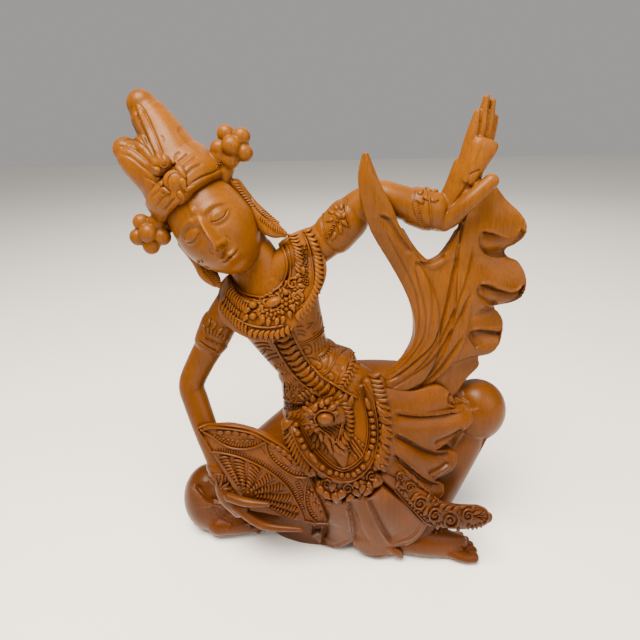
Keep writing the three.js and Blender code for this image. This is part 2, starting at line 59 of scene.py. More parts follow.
def sightAxes():
    pitch, yaw, roll = (math.radians(camera[k]) for k in ("pitch", "yaw", "roll"))
    cp, sp = math.cos(pitch), math.sin(pitch)
    cw, sw = math.cos(yaw), math.sin(yaw)
    cr, sr = math.cos(roll), math.sin(roll)
    right = Vector((cw * cr + sw * sp * sr, -sw * cr + cw * sp * sr, cp * sr))
    up = Vector((-cw * sr + sw * sp * cr, sw * sr + cw * sp * cr, cp * cr))
    forward = Vector((sw * cp, cw * cp, -sp))
    return right, up, forward


sightRight, sightUp, sightForward = sightAxes()


def addCamera():
    data = bpy.data.cameras.new("photoCamera")
    data.sensor_fit = "HORIZONTAL"
    data.sensor_width = camera["sensor"]
    data.lens = camera["focal"] / camera["frame"] * camera["sensor"]
    data.clip_start = 0.01
    data.clip_end = 20
    obj = bpy.data.objects.new("photoCamera", data)
    bpy.context.scene.collection.objects.link(obj)
    turn = Matrix((sightRight, sightUp, -sightForward)).transposed().to_4x4()
    spot = (camera["place"] + drawing["shift"]) * drawing["toMetres"]
    obj.matrix_world = Matrix.Translation(spot) @ turn
    bpy.context.scene.camera = obj


addCamera()
print("camera placed")


# Where points of the drawing fall in the photograph, and how squarely they face it
def photoPlane(co, normals):
    away = co - np.array(camera["place"])
    depth = away @ np.array(sightForward)
    half = camera["frame"] / 2
    px = half + camera["focal"] * (away @ np.array(sightRight)) / depth
    py = half - camera["focal"] * (away @ np.array(sightUp)) / depth
    facing = -(normals * away).sum(1) / np.linalg.norm(away, axis=1)
    return np.stack([px, py], 1), facing


# The line of sight through a point of the photograph
def sightLine(px, py):
    half = camera["frame"] / 2
    across = (px - half) / camera["focal"]
    high = (half - py) / camera["focal"]
    return (sightForward + sightRight * across + sightUp * high).normalized()


# The point of the drawing that is seen at px, py and lies at depth y
def seen(px, py, y):
    ray = sightLine(px, py)
    return list(camera["place"] + ray * ((y - camera["place"].y) / ray.y))


# Reads points off an enlargement of the photograph, whose corner lies at left, top
def enlarged(left, top, times):
    def line(*places):
        return [(left + x / times, top + y / times) for x, y in places]

    return line


crownLine = enlarged(110, 80, 4.737)
scarfLine = enlarged(370, 110, 5.407)
bodiceLine = enlarged(248, 296, 6.923)
kneeLine = enlarged(130, 470, 7.467)  # the right knee, and the fan's tassel beside it
fanLine = enlarged(150, 410, 7.84)
thighLine = enlarged(395, 380, 8.2526)  # the pleats over the thigh, the tail and the foot
hemLine = enlarged(260, 495, 9.2235)
apronLine = enlarged(270, 370, 10.453)


# A Catmull-Rom line through points, cut to even steps; its length is taken over the first dims numbers
def smoothLine(points, step, dims=2):
    p = np.array(points, float)
    ends = np.vstack([2 * p[0] - p[1], p, 2 * p[-1] - p[-2]])
    t = np.linspace(0, 1, 12, endpoint=False)[:, None]
    spans = []
    for a, b, c, d in zip(ends, ends[1:], ends[2:], ends[3:]):
        bend = (2 * a - 5 * b + 4 * c - d) * t**2 + (3 * b - a - 3 * c + d) * t**3
        spans.append(b + ((c - a) * t + bend) / 2)
    dense = np.vstack(spans + [p[-1:]])
    run = np.linalg.norm(np.diff(dense[:, :dims], axis=0), axis=1)
    length = np.concatenate([[0], np.cumsum(run)])
    want = np.linspace(0, length[-1], max(2, int(round(length[-1] / step)) + 1))
    return np.stack([np.interp(want, length, dense[:, k]) for k in range(p.shape[1])], 1)


# A round-ended limb through stations [x, y, z, half width, half depth]
def addLimb(bm, stations, sides=20, step=2.0, capRings=4, wave=None, roundness=1.0):
    rows = [list(s) if len(s) == 5 else [*s, s[3]] for s in stations]
    line = smoothLine(rows, step, dims=3)
    centres = line[:, :3]
    ahead = np.gradient(centres, axis=0)
    ahead /= np.linalg.norm(ahead, axis=1)[:, None] + 1e-12
    across = np.cross(ahead, (0, -1, 0))
    flat = np.linalg.norm(across, axis=1) < 0.05
    across[flat] = (1, 0, 0)
    across /= np.linalg.norm(across, axis=1)[:, None]
    outward = np.cross(across, ahead)
    rings = len(line) + 2 * capRings + 1
    made = bmesh.ops.create_uvsphere(bm, u_segments=sides, v_segments=rings, radius=1)
    for v in made["verts"]:
        ring = int(round(math.acos(max(-1.0, min(1.0, v.co.z))) * rings / math.pi))
        spread = math.hypot(v.co.x, v.co.y) or 1.0
        cosine, sine = v.co.x / spread, v.co.y / spread
        i = min(max(ring - capRings - 1, 0), len(line) - 1)
        beyond = ring - capRings - 1 - i
        tuck = beyond / (capRings + 1) * math.pi / 2
        wide, deep = line[i, 3], line[i, 4]
        if wave:
            grow = wave(i / (len(line) - 1), math.atan2(sine, cosine))
            wide, deep = wide * grow, deep * grow
        v.co = (
            centres[i]
            + across[i] * (cosine * wide * math.cos(tuck))
            + outward[i] * (sine * deep * math.cos(tuck))
            + ahead[i] * (min(wide, deep) * roundness * math.sin(tuck))
        )
    return made["verts"]


# A slab between two edges; rise(u, v) lifts it towards the viewer and slip(u, v) slides it along u
def addSheet(bm, edgeA, edgeB, along=40, across=16, thickness=5.0, rise=None, slip=None):
    a = smoothLine(edgeA, 1.0, dims=3)
    b = smoothLine(edgeB, 1.0, dims=3)

    def flat(u, v):
        first = [np.interp(u, np.linspace(0, 1, len(a)), a[:, k]) for k in range(3)]
        other = [np.interp(u, np.linspace(0, 1, len(b)), b[:, k]) for k in range(3)]
        return np.array(first) * (1 - v) + np.array(other) * v

    grid = bmesh.ops.create_grid(bm, x_segments=along, y_segments=across, size=0.5)["verts"]
    faces = list({f for p in grid for f in p.link_faces})
    made = bmesh.ops.extrude_face_region(bm, geom=faces, use_keep_orig=True)["geom"]
    backs = [g for g in made if isinstance(g, bmesh.types.BMVert)]
    bmesh.ops.translate(bm, verts=backs, vec=(0, 0, -1))
    verts = list(grid) + backs
    u, v, side = np.array([(p.co.x + 0.5, p.co.y + 0.5, p.co.z) for p in verts]).T
    step = 0.01  # share of the sheet over which its slope is taken
    s, t = np.clip(u, 2 * step, 1 - 2 * step), np.clip(v, 2 * step, 1 - 2 * step)
    alongIt = flat(s + step, t) - flat(s - step, t)
    acrossIt = flat(s, t + step) - flat(s, t - step)
    normal = np.cross(alongIt, acrossIt, axis=0)
    normal /= np.linalg.norm(normal, axis=0)
    normal *= np.where(normal[1] > 0, -1.0, 1.0)
    lift = rise(u, v) if rise else np.zeros_like(u)
    slide = slip(u, v) if slip else np.zeros_like(u)
    alongIt /= np.linalg.norm(alongIt, axis=0)
    points = flat(u, v) + normal * (lift + (side + 0.5) * thickness) + alongIt * slide
    for vert, co in zip(verts, points.T):
        vert.co = co
    bmesh.ops.recalc_face_normals(bm, faces=list({f for p in verts for f in p.link_faces}))
    return verts


def addBall(bm, centre, radii, sides=20, rings=14):
    matrix = Matrix.Translation(centre) @ Matrix.Diagonal((*radii, 1))
    bmesh.ops.create_uvsphere(bm, u_segments=sides, v_segments=rings, radius=1, matrix=matrix)


trees = {}  # name of a finished form: its surface, in the drawing's millimetres
carving = []  # every piece of the dancer


def link(obj):
    bpy.context.scene.collection.objects.link(obj)
    return obj


def meshFrom(name, bm):
    mesh = bpy.data.meshes.new(name)
    bm.to_mesh(mesh)
    bm.free()
    return mesh


# Makes a piece's modifiers part of its mesh
def applyModifiers(obj):
    graph = bpy.context.evaluated_depsgraph_get()
    finished = bpy.data.meshes.new_from_object(obj.evaluated_get(graph))
    obj.modifiers.clear()
    old, obj.data = obj.data, finished
    bpy.data.meshes.remove(old)


def arraysOf(mesh):
    co = np.empty(len(mesh.vertices) * 3, np.float32)
    mesh.vertices.foreach_get("co", co)
    normals = np.empty(len(mesh.vertices) * 3, np.float32)
    mesh.vertex_normals.foreach_get("vector", normals)
    return co.reshape(-1, 3).astype(float), normals.reshape(-1, 3).astype(float)


def putBack(mesh, co):
    mesh.vertices.foreach_set("co", co.astype(np.float32).ravel())
    mesh.update()


# Joins overlapping forms into one skin of even quads, softens it and keeps it above the floor
def oneBlock(name, addForms, voxel, softness=3):
    bm = bmesh.new()
    addForms(bm)
    obj = link(bpy.data.objects.new(name, meshFrom(name, bm)))
    remesh = obj.modifiers.new("oneSkin", "REMESH")
    remesh.mode = "VOXEL"
    remesh.voxel_size = voxel
    remesh.use_smooth_shade = True
    soften = obj.modifiers.new("softened", "SMOOTH")
    soften.factor = 0.5
    soften.iterations = softness
    applyModifiers(obj)
    obj.data.name = name
    co, _ = arraysOf(obj.data)
    co[:, 2] = np.maximum(co[:, 2], 0.0)
    putBack(obj.data, co)
    keepTree(obj)
    carving.append(obj)
    print(name, "joined,", len(obj.data.polygons), "faces")
    return obj


def keepTree(obj):
    trees[obj.name] = BVHTree.FromObject(obj, bpy.context.evaluated_depsgraph_get())


# The vertices within reach of a line: which they are, how far off it, the way across to each, and the
# point of the line that is nearest to each
def closeTo(flat, facing, line, reach, leastFacing):
    low, high = line.min(0) - reach, line.max(0) + reach
    near = np.nonzero(((flat > low) & (flat < high)).all(1) & (facing > leastFacing))[0]
    away = flat[near][:, None, :] - line[None]
    nearest = (away**2).sum(2).argmin(1)
    across = away[np.arange(len(near)), nearest]
    return near, np.sqrt((across**2).sum(1)), across, nearest


# Cuts grooves (depth over 0) or raises ridges (under 0) along lines drawn on a plane.
# Each stroke is (half width, depth, points), its ends run out to nothing.
def carve(obj, strokes, plane=photoPlane, runOut=0.12, leastFacing=0.05):
    mesh = obj.data
    co, normals = arraysOf(mesh)
    flat, facing = plane(co, normals)
    sinks = np.zeros(len(co))
    for width, depth, points in strokes:
        line = smoothLine(points, max(0.5, width * 0.6)) if len(points) > 1 else np.array(points, float)
        near, gap, _, nearest = closeTo(flat, facing, line, 3 * width, leastFacing)
        t = nearest / max(1, len(line) - 1)
        ends = np.clip(np.minimum(t, 1 - t) / runOut + 0.15, 0, 1) if len(line) > 1 else 1.0
        cut = depth * np.exp(-((gap / width) ** 2)) * ends
        deeper = np.abs(cut) > np.abs(sinks[near])
        sinks[near[deeper]] = cut[deeper]
    putBack(mesh, co - normals * sinks[:, None])


# Presses the wood down on one side of each line, so that cloth on the other side lies over it.
# Each lap is (depth mm, fade px, side, points); side 1 is on the right hand as the line is followed.
def overlap(obj, laps, plane=photoPlane, runOut=0.1, leastFacing=0.05, edge=1.0, lip=0.3):
    mesh = obj.data
    co, normals = arraysOf(mesh)
    flat, facing = plane(co, normals)
    sinks = np.zeros(len(co))
    for depth, fade, side, points in laps:
        line = smoothLine(points, 0.8)
        near, gap, across, nearest = closeTo(flat, facing, line, 2.5 * fade, leastFacing)
        ahead = np.gradient(line, axis=0)[nearest]
        signed = np.sign(ahead[:, 0] * across[:, 1] - ahead[:, 1] * across[:, 0]) * gap * side
        t = nearest / (len(line) - 1)
        ends = np.clip(np.minimum(t, 1 - t) / runOut, 0, 1)
        pressed = np.clip(signed / edge, 0, 1) * np.exp(-((np.maximum(signed, 0) / fade) ** 1.5))
        raised = np.where(signed <= 0, np.exp(-((signed / (2.2 * edge)) ** 2)), 0) * lip
        sinks[near] += depth * (pressed - raised) * ends
    putBack(mesh, co - normals * sinks[:, None])


# Drops the triangles that shape a finished form least
def thin(obj, triangles):
    now = sum(len(f.vertices) - 2 for f in obj.data.polygons)
    if now <= triangles:
        return
    decimate = obj.modifiers.new("fewerFaces", "DECIMATE")
    decimate.ratio = triangles / now
    applyModifiers(obj)


# The wood behind a point of the photograph: its place and which way it faces
def settle(px, py, carriers, spread=1.2):
    best = None
    start = camera["place"]
    for name in carriers:
        spot, normal, _, gap = trees[name].ray_cast(start, sightLine(px, py))
        if spot is not None and (best is None or gap < best[2]):
            best = (spot, normal, gap, name)
    if best is None:
        return None
    normal = best[1].copy()
    for dx, dy in ((spread, 0), (-spread, 0), (0, spread), (0, -spread)):
        other = trees[best[3]].ray_cast(start, sightLine(px + dx, py + dy))
        if other[0] is not None and abs(other[3] - best[2]) < 6:
            normal += other[1]
    return best[0], normal.normalized()


# Small carved shapes, repeated many times: a leaf with a midrib, a curved leaf, a drop and a bead
def smallShape(name, shape, sides, rings):
    bm = bmesh.new()
    made = bmesh.ops.create_uvsphere(bm, u_segments=sides, v_segments=rings, radius=1)
    for v in made["verts"]:
        v.co = shape(v.co.z, v.co.x, v.co.y)
    bmesh.ops.recalc_face_normals(bm, faces=bm.faces)
    return meshFrom(name, bm)


def leafShape(along, side, height):
    wide = 0.36 * (1 - along**2) ** 0.35 * (1 - 0.35 * along)
    rib = 0.3 * math.exp(-((side / 0.3) ** 2)) * max(0.0, height)
    return Vector((along, side * wide, (height - rib) * 0.3))


def dropShape(along, side, height):
    wide = 0.42 * (1 - 0.45 * along)
    return Vector((along, side * wide, height * 0.34 * (1 - 0.3 * along)))


def crescentShape(along, side, height):
    wide = 0.4 * max(0.0, 1 - along**2) ** 0.5
    return Vector((along, side * wide + 0.34 * along**2 - 0.12, height * 0.34))


leaf = smallShape("leaf", leafShape, 8, 7)
crescent = smallShape("crescent", crescentShape, 8, 7)
drop = smallShape("drop", dropShape, 8, 6)
bead = smallShape("bead", lambda a, s, h: Vector((a, s, h * 0.8)), 8, 6)


# A copy of a small shape at a place, its length along ahead and its top along normal
def stamp(bm, shape, spot, ahead, normal, size):
    side = normal.cross(ahead).normalized()
    front = side.cross(normal).normalized()
    long, wide, high = size
    matrix = Matrix((front * long, side * wide, normal * high)).transposed().to_4x4()
    copy = shape.copy()
    copy.transform(Matrix.Translation(spot) @ matrix)
    bm.from_mesh(copy)
    bpy.data.meshes.remove(copy)


# How many millimetres one px of the photograph covers at a point
def pxSize(spot):
    return (Vector(spot) - camera["place"]).dot(sightForward) / camera["focal"]


# One small shape at a point of the photograph; heading in degrees, 0 to the right and 90 up the picture
def place(bm, shape, px, py, heading, size, carriers, lift=0.0, flatten=0.35):
    found = settle(px, py, carriers)
    if not found:
        return
    spot, normal = found
    normal = normal.lerp(-sightForward, flatten).normalized()
    angle = math.radians(heading)
    ahead = sightRight * math.cos(angle) + sightUp * math.sin(angle)
    scale = pxSize(spot)
    stamp(bm, shape, spot + normal * lift, ahead, normal, [s * scale for s in size])


# Many small shapes, each (shape, px, py, heading, size, lift)
def placeAll(bm, spots, carriers):
    for shape, px, py, heading, size, lift in spots:
        place(bm, shape, px, py, heading, size, carriers, lift)


# One shape at many points of an enlargement, each (x, y, heading, size). The shares turn its size into
# px along, across and up.
def scatter(bm, shape, line, spots, shares, carriers, lift):
    for x, y, heading, size in spots:
        px, py = line((x, y))[0]
        place(bm, shape, px, py, heading, [size * share for share in shares], carriers, lift)


# Small shapes in a row along a line of the photograph. lean turns each one from the line's own
# direction, in degrees, and grow is their size at the two ends of the row.
def row(
    bm, shape, points, pitch, size, carriers, lean=0.0, grow=(1.0, 1.0), lift=0.0, offset=0.0,
    flatten=0.35,
):
    line = smoothLine(points, pitch)
    for i in range(len(line) - 1):
        x, y = (line[i] + line[i + 1]) / 2
        dx, dy = line[i + 1] - line[i]
        heading = math.degrees(math.atan2(-dy, dx))
        t = (i + 0.5) / (len(line) - 1)
        k = grow[0] * (1 - t) + grow[1] * t
        side = math.radians(heading + 90)
        x, y = x + offset * math.cos(side), y - offset * math.sin(side)
        place(bm, shape, x, y, heading + lean, [s * k for s in size], carriers, lift, flatten)


# Many rows, each (shape, pitch, size, lean, lift, line)
def placeRows(bm, rows, carriers):
    for shape, pitch, size, lean, lift, line in rows:
        row(bm, shape, line, pitch, size, carriers, lean=lean, lift=lift)


# A raised cord along a line of the photograph, half sunk in the wood; width and height in px
def cord(bm, points, width, height, carriers, taper=(1.0, 1.0), lift=0.0, sides=8, step=1.6, beads=None):
    line = smoothLine(points, step)
    stations = []
    for i, (x, y) in enumerate(line):
        found = settle(x, y, carriers)
        if not found:
            continue
        spot, normal = found
        t = i / max(1, len(line) - 1)
        scale = pxSize(spot) * (taper[0] * (1 - t) + taper[1] * t)
        stations.append([*(spot + normal * lift), width * scale, height * scale])
    if len(stations) < 2:
        return
    # a cord never jumps back to a form behind it
    kept = [stations[0]]
    for s in stations[1:]:
        if (Vector(s[:3]) - Vector(kept[-1][:3])).length < 6 * step:
            kept.append(s)
    if len(kept) > 1:
        addLimb(bm, kept, sides=sides, step=1.0, capRings=2, wave=beads)


# A spiral of a scroll, wound in from its rim to its eye
def scroll(bm, px, py, radius, carriers, turns=1.6, start=0.0, hand=1, width=1.1, height=1.3, lift=0.0):
    count = int(16 * turns)
    points = []
    for i in range(count + 1):
        t = i / count
        angle = math.radians(start) + hand * t * turns * 2 * math.pi
        r = radius * (1 - 0.82 * t)
        points.append((px + r * math.cos(angle), py - r * math.sin(angle)))
    cord(bm, points, width, height, carriers, taper=(1.0, 0.7), lift=lift, step=0.9)
    place(bm, bead, px, py, 0, (radius * 0.26,) * 3, carriers, lift=0.2)


# A flower of petals around a bead
def blossom(bm, px, py, radius, petals, carriers, start=90.0, height=0.8):
    for i in range(petals):
        angle = start + 360 * i / petals
        x = px + 0.6 * radius * math.cos(math.radians(angle))
        y = py - 0.6 * radius * math.sin(math.radians(angle))
        place(bm, drop, x, y, angle + 180, (radius * 0.46, radius * 0.9, radius * height), carriers)
    place(bm, bead, px, py, 0, (radius * 0.36, radius * 0.36, radius * height * 0.7), carriers, lift=0.4)


def ornament(name, bm):
    carving.append(link(bpy.data.objects.new(name, meshFrom(name, bm))))
    print(name, "set")


# Small shapes at random headings that fill a four-sided patch of the photograph, corner by corner
def fillIn(bm, shape, corners, pitch, size, carriers, seed=1, lift=0.3, toss=180.0, heading=0.0):
    a, b, c, d = (np.array(corner, float) for corner in corners)
    dice = np.random.default_rng(seed)
    rows = max(1, int(round(np.linalg.norm(d - a) / pitch)))
    for i in range(rows + 1):
        v = i / rows
        left, right = a * (1 - v) + d * v, b * (1 - v) + c * v
        count = max(1, int(round(np.linalg.norm(right - left) / pitch)))
        for j in range(count + 1):
            x, y = left + (right - left) * min(1.0, (j + 0.5 * (i % 2)) / count)
            x, y = x + dice.uniform(-0.25, 0.25) * pitch, y + dice.uniform(-0.25, 0.25) * pitch
            place(bm, shape, x, y, heading + dice.uniform(-toss, toss), size, carriers, lift)


# The head is drawn upright about the middle of the skull: x to the dancer's left, the face at -y
head = {
    "centre": Vector((-74, -5, 259)),
    "lean": 36.0,
    "turn": 6.0,
    "bow": -8.0,
    "half": (25.5, 26.0),
    "chin": 33.0,
    "top": 42.0,  # under the cap
    "faces": (220, 170),  # around and up, before it is joined to the neck
    "eyes": (10.4, 3.0),  # from the middle line, and up
    "noseBase": -12.5,
    "mouth": -19.8,
    "neck": [
        [-44, 4, 212, 20, 13], [-50, 4, 229, 16.6, 11.8], [-58, 3.4, 242, 16, 12.4],
        [-64, 3, 252, 18, 14],
    ],
    "neckRoot": [
        [-41, 2, 204, 27, 17.5], [-46, 1.6, 216, 24, 17], [-50.5, 1.6, 227, 19, 14.2],
        [-55.5, 3, 239, 16.6, 12.6],
    ],
    "voxel": 0.5,
}
headMatrix = (
    Matrix.Translation(head["centre"])
    @ Matrix.Rotation(math.radians(-head["lean"]), 4, "Y")
    @ Matrix.Rotation(math.radians(head["bow"]), 4, "X")
    @ Matrix.Rotation(math.radians(head["turn"]), 4, "Z")
)
headInverse = np.array(headMatrix.inverted())


# A plane across the front of the head, for carving on the face
def facePlane(co, normals):
    local = co @ headInverse[:3, :3].T + headInverse[:3, 3]
    facing = -(normals @ headInverse[:3, :3].T)[:, 1]
    return local[:, [0, 2]], facing


def hump(x, z, cx, cz, rx, rz):
    return np.exp(-(((x - cx) / rx) ** 2) - ((z - cz) / rz) ** 2)


def dome(x, z, cx, cz, rx, rz):
    return np.sqrt(np.maximum(0, 1 - ((x - cx) / rx) ** 2 - ((z - cz) / rz) ** 2))


def ease(value, low, high):
    t = np.clip((value - low) / (high - low), 0, 1)
    return t * t * (3 - 2 * t)


# How far the face stands out from the egg of the skull, in mm
def faceRelief(x, z):
    side = np.abs(x)
    eyeX, eyeZ = head["eyes"]
    base, mouth = head["noseBase"], head["mouth"]
    relief = -2.3 * hump(side, z, eyeX - 0.8, eyeZ - 0.4, 7.2, 4.8)  # socket
    relief += 0.9 * hump(side, z, 13.5, -9, 7, 8)  # cheek
    relief += 3.2 * hump(x, z, 0, mouth - 1, 9.5, 8)  # the swell that carries the lips
    relief += 3.0 * hump(x, z, 0, -30, 8, 5.5)  # chin
    relief -= 1.0 * hump(x, z, 0, -25.6, 6, 1.8)
    arch = eyeZ + 7.6 - 0.035 * (side - 9) ** 2
    # brow
    relief += 1.1 * np.exp(-(((z - arch) / 1.7) ** 2)) * ease(side, 1.5, 5) * (1 - ease(side, 15, 20))
    climb = ease(z, base - 1.0, base + 1.8) * (1 - ease(z, -8, 12))
    width = 1.9 + 0.7 * (1 - ease(z, base, 2))
    relief += 7.4 * climb * np.exp(-np.abs(x / width) ** 2.4)  # nose
    relief += 1.6 * (1 - ease(z, 2, 13)) * ease(z, base, base + 4) * np.exp(-((x / 3.4) ** 2))  # its bridge
    relief += 2.6 * dome(side, z, 3.2, base + 1.9, 2.1, 2.2)  # wing of the nose
    relief += 1.1 * hump(x, z, 0, base + 2.4, 2.4, 2.4)  # its tip
    # closed lid
    relief += 2.9 * np.clip(1 - ((side - eyeX) / 6.6) ** 2 - ((z - eyeZ) / 4.4) ** 2, 0, 1) ** 0.8
    bow = 0.55 * np.cos(x * 1.15) * np.exp(-((x / 4) ** 2))
    taper = np.clip(1 - (side / 7.4) ** 2, 0, 1)
    relief += 1.9 * taper * np.exp(-(((z - mouth - 1.55 - bow) / 1.35) ** 2))  # upper lip
    # lower lip
    relief += 2.4 * np.clip(1 - (side / 6.2) ** 2, 0, 1) * np.exp(-(((z - mouth + 1.9) / 1.75) ** 2))
    relief += 1.3 * dome(x, z, 0, 14.2, 1.7, 2.6)  # drop on the forehead
    return relief


def addHead(bm):
    wide, deep = head["half"]
    around, rings = head["faces"]
    made = bmesh.ops.create_uvsphere(bm, u_segments=around, v_segments=rings, radius=1)["verts"]
    unit = np.array([v.co for v in made])
    low = np.maximum(0, -unit[:, 2])
    z = np.where(unit[:, 2] < 0, head["chin"], head["top"]) * unit[:, 2]
    jaw = 1 - 0.19 * low**1.7
    x = wide * unit[:, 0] * jaw
    front = ease(-unit[:, 1], 0.12, 0.5)
    y = 1 + deep * unit[:, 1] * (1 - 0.08 * low) - front * faceRelief(x, z)
    for v, co in zip(made, np.stack([x, y, z], 1)):
        v.co = co
    bm.transform(headMatrix)
    addLimb(bm, head["neck"], sides=48, step=1.5)
    addLimb(bm, head["neckRoot"], sides=64, step=1.0)


headPiece = oneBlock("head", addHead, head["voxel"], softness=3)
eyeX, eyeZ = head["eyes"]
mouth = head["mouth"]
base = head["noseBase"]
lashes = ((-5.9, -0.4), (-3.0, -1.7), (0.4, -2.3), (3.4, -1.6), (6.2, 0.4))  # from the middle of the eye
lidFold = ((-4.6, 3.6), (-1.4, 5.0), (2.4, 4.8), (6.2, 2.8))
lips = ((-6.9, 0.95), (-3.4, -0.2), (0, 0.05), (3.4, -0.2), (6.9, 0.95))  # from the middle of the mouth
faceLines = [(0.42, 1.0, [(dx, mouth + dz) for dx, dz in lips])]
for side in (-1, 1):
    faceLines += [
        (0.42, 0.8, [(side * (eyeX + dx), eyeZ + dz) for dx, dz in lashes]),
        (0.7, 0.22, [(side * (eyeX + dx), eyeZ + dz) for dx, dz in lidFold]),
        (0.8, 1.0, [(side * 1.9, base + 0.1), (side * 2.7, base + 0.3)]),  # nostril
        (0.5, 0.4, [(side * 1.0, base - 1.8), (side * 1.3, mouth + 3.2)]),  # groove over the lip
        (0.8, 0.5, [(side * 7.1, mouth + 1.1), (side * 7.7, mouth + 1.4)]),  # corner of the mouth
        (0.4, 0.5, [(side * 6.0, base + 4.2), (side * 6.9, base + 2.0), (side * 6.2, base + 0.2)]),
    ]
carve(headPiece, faceLines, facePlane)


crown = {  # in the head's own frame
    "voxel": 0.5,
    "bandHeight": 23.6,
    "cap": [  # stations above the band, counted from its height
        [0, 0.8, 0, 26.0, 26.8], [0, 0.9, 3, 26.6, 27.4], [0, 1, 7, 27.2, 27.2],
        [0, 2, 15.4, 26, 23], [-1.5, 1, 26.4, 22, 18], [-2, 1, 33.4, 19, 14],
    ],
    "capEnd": [[-2, 1, 50, 20, 16], [-2.5, 1, 60, 14, 12]],
    "rises": [  # the cap runs up into both lobes without a step
        [
            [3, 1.5, 43, 21, 19.4], [6, 2, 54, 16.8, 16.4], [8, 2.6, 64, 13.8, 13.6],
            [8.8, 2.8, 75, 11.8, 11.4],
        ],
        [[-6, 0.5, 43, 19, 19], [-10.5, 0, 54, 12.8, 14.4], [-13, -0.6, 62, 10.4, 11.4]],
    ],
    "lobes": [  # the tall one and the low one
        [[7, 3, 40, 15, 15], [8.2, 3, 62, 13.2, 13], [9.0, 3, 76, 11.6, 11], [9.8, 2, 84.2, 8.8, 8.6]],
        [[-9, 0, 40, 14, 15], [-13, -1, 56, 10.8, 12], [-14, -1, 66, 9.4, 10], [-14.5, -1, 69.5, 7.8, 8]],
    ],
    "petals": 5,
    "petalRadius": (5.4, 4.8, 5.4),
    "petalReach": 8.1,
    "heartRadius": (5.9, 5.0, 5.9),
    "heartForward": 3.2,
    "discRadius": (10.2, 3.8, 10.2),  # behind the petals
    "discBack": 1.2,
    "clusters": [  # heart of the flowers, their tilt as a share of a turn, and the pendant below
        ((39.0, -3, 31.9), 0.03, [
            [26, 3, 14, 4, 5], [25.5, 2, 0, 4.6, 4], [25.8, 0, -12, 6.4, 3.6], [28.5, -1, -22, 5.4, 3.2],
            [32, -1, -28, 2.4, 2.2],
        ]),
        ((-34.6, -5, 22.6), 0.0, [
            [-23.5, 2, 6, 4, 5], [-22.6, 1, -8, 5, 4], [-23, 0, -18, 6.2, 3.6], [-22.4, -1, -26, 4, 3],
            [-22, -1, -29, 2, 2],
        ]),
    ],
    "bosses": [  # behind the left cluster, the bud, and the round leaf over the brow
        ((29, -2, 33), (7, 5, 6)), ((1.2, -20.5, 45.6), (6.8, 4.6, 6.2)),
        ((2.4, -24.6, 33.0), (6.6, 3.6, 6.2)),
    ],
}


def addCrown(bm):
    low = crown["bandHeight"]
    stations = [[x, y, low + up, wide, deep] for x, y, up, wide, deep in crown["cap"]]
    cap = addLimb(bm, stations, sides=96, step=1.2, capRings=8, roundness=0.15)
    for v in cap:  # the band dips to a point over the nose
        if v.co.y < 0 and v.co.z < low + 6:
            v.co.z -= 2.0 * math.exp(-((v.co.x / 5) ** 2)) * (1 - max(0, v.co.z - low) / 6)
        if v.co.z > 52:  # and the cap closes softly between the lobes
            v.co.z -= 2
    addLimb(bm, crown["capEnd"], sides=48, step=1.5, capRings=8)
    for rise in crown["rises"]:
        addLimb(bm, rise, sides=64, step=1.0)
    for lobe in crown["lobes"]:
        addLimb(bm, lobe, sides=48, step=1.5, capRings=8)
    for heart, tilt, pendant in crown["clusters"]:
        across, deep, high = heart
        addBall(bm, (across, deep - crown["heartForward"], high), crown["heartRadius"], sides=28, rings=20)
        addBall(bm, (across, deep + crown["discBack"], high), crown["discRadius"], sides=36, rings=20)
        for i in range(crown["petals"]):
            angle = 2 * math.pi * (i / crown["petals"] + tilt)
            x = across + crown["petalReach"] * math.sin(angle)
            z = high + crown["petalReach"] * math.cos(angle)
            addBall(bm, (x, deep - 0.2, z), crown["petalRadius"], sides=28, rings=20)
        side = math.copysign(1, across)
        stalk = [[side * 20, 1, 20, 5], [across - side * 3, deep + 3, high - 1, 6]]
        addLimb(bm, stalk, sides=24)
        addLimb(bm, pendant, sides=28, step=1.0)
    for centre, radii in crown["bosses"]:
        addBall(bm, centre, radii, sides=28, rings=20)
    bm.transform(headMatrix)


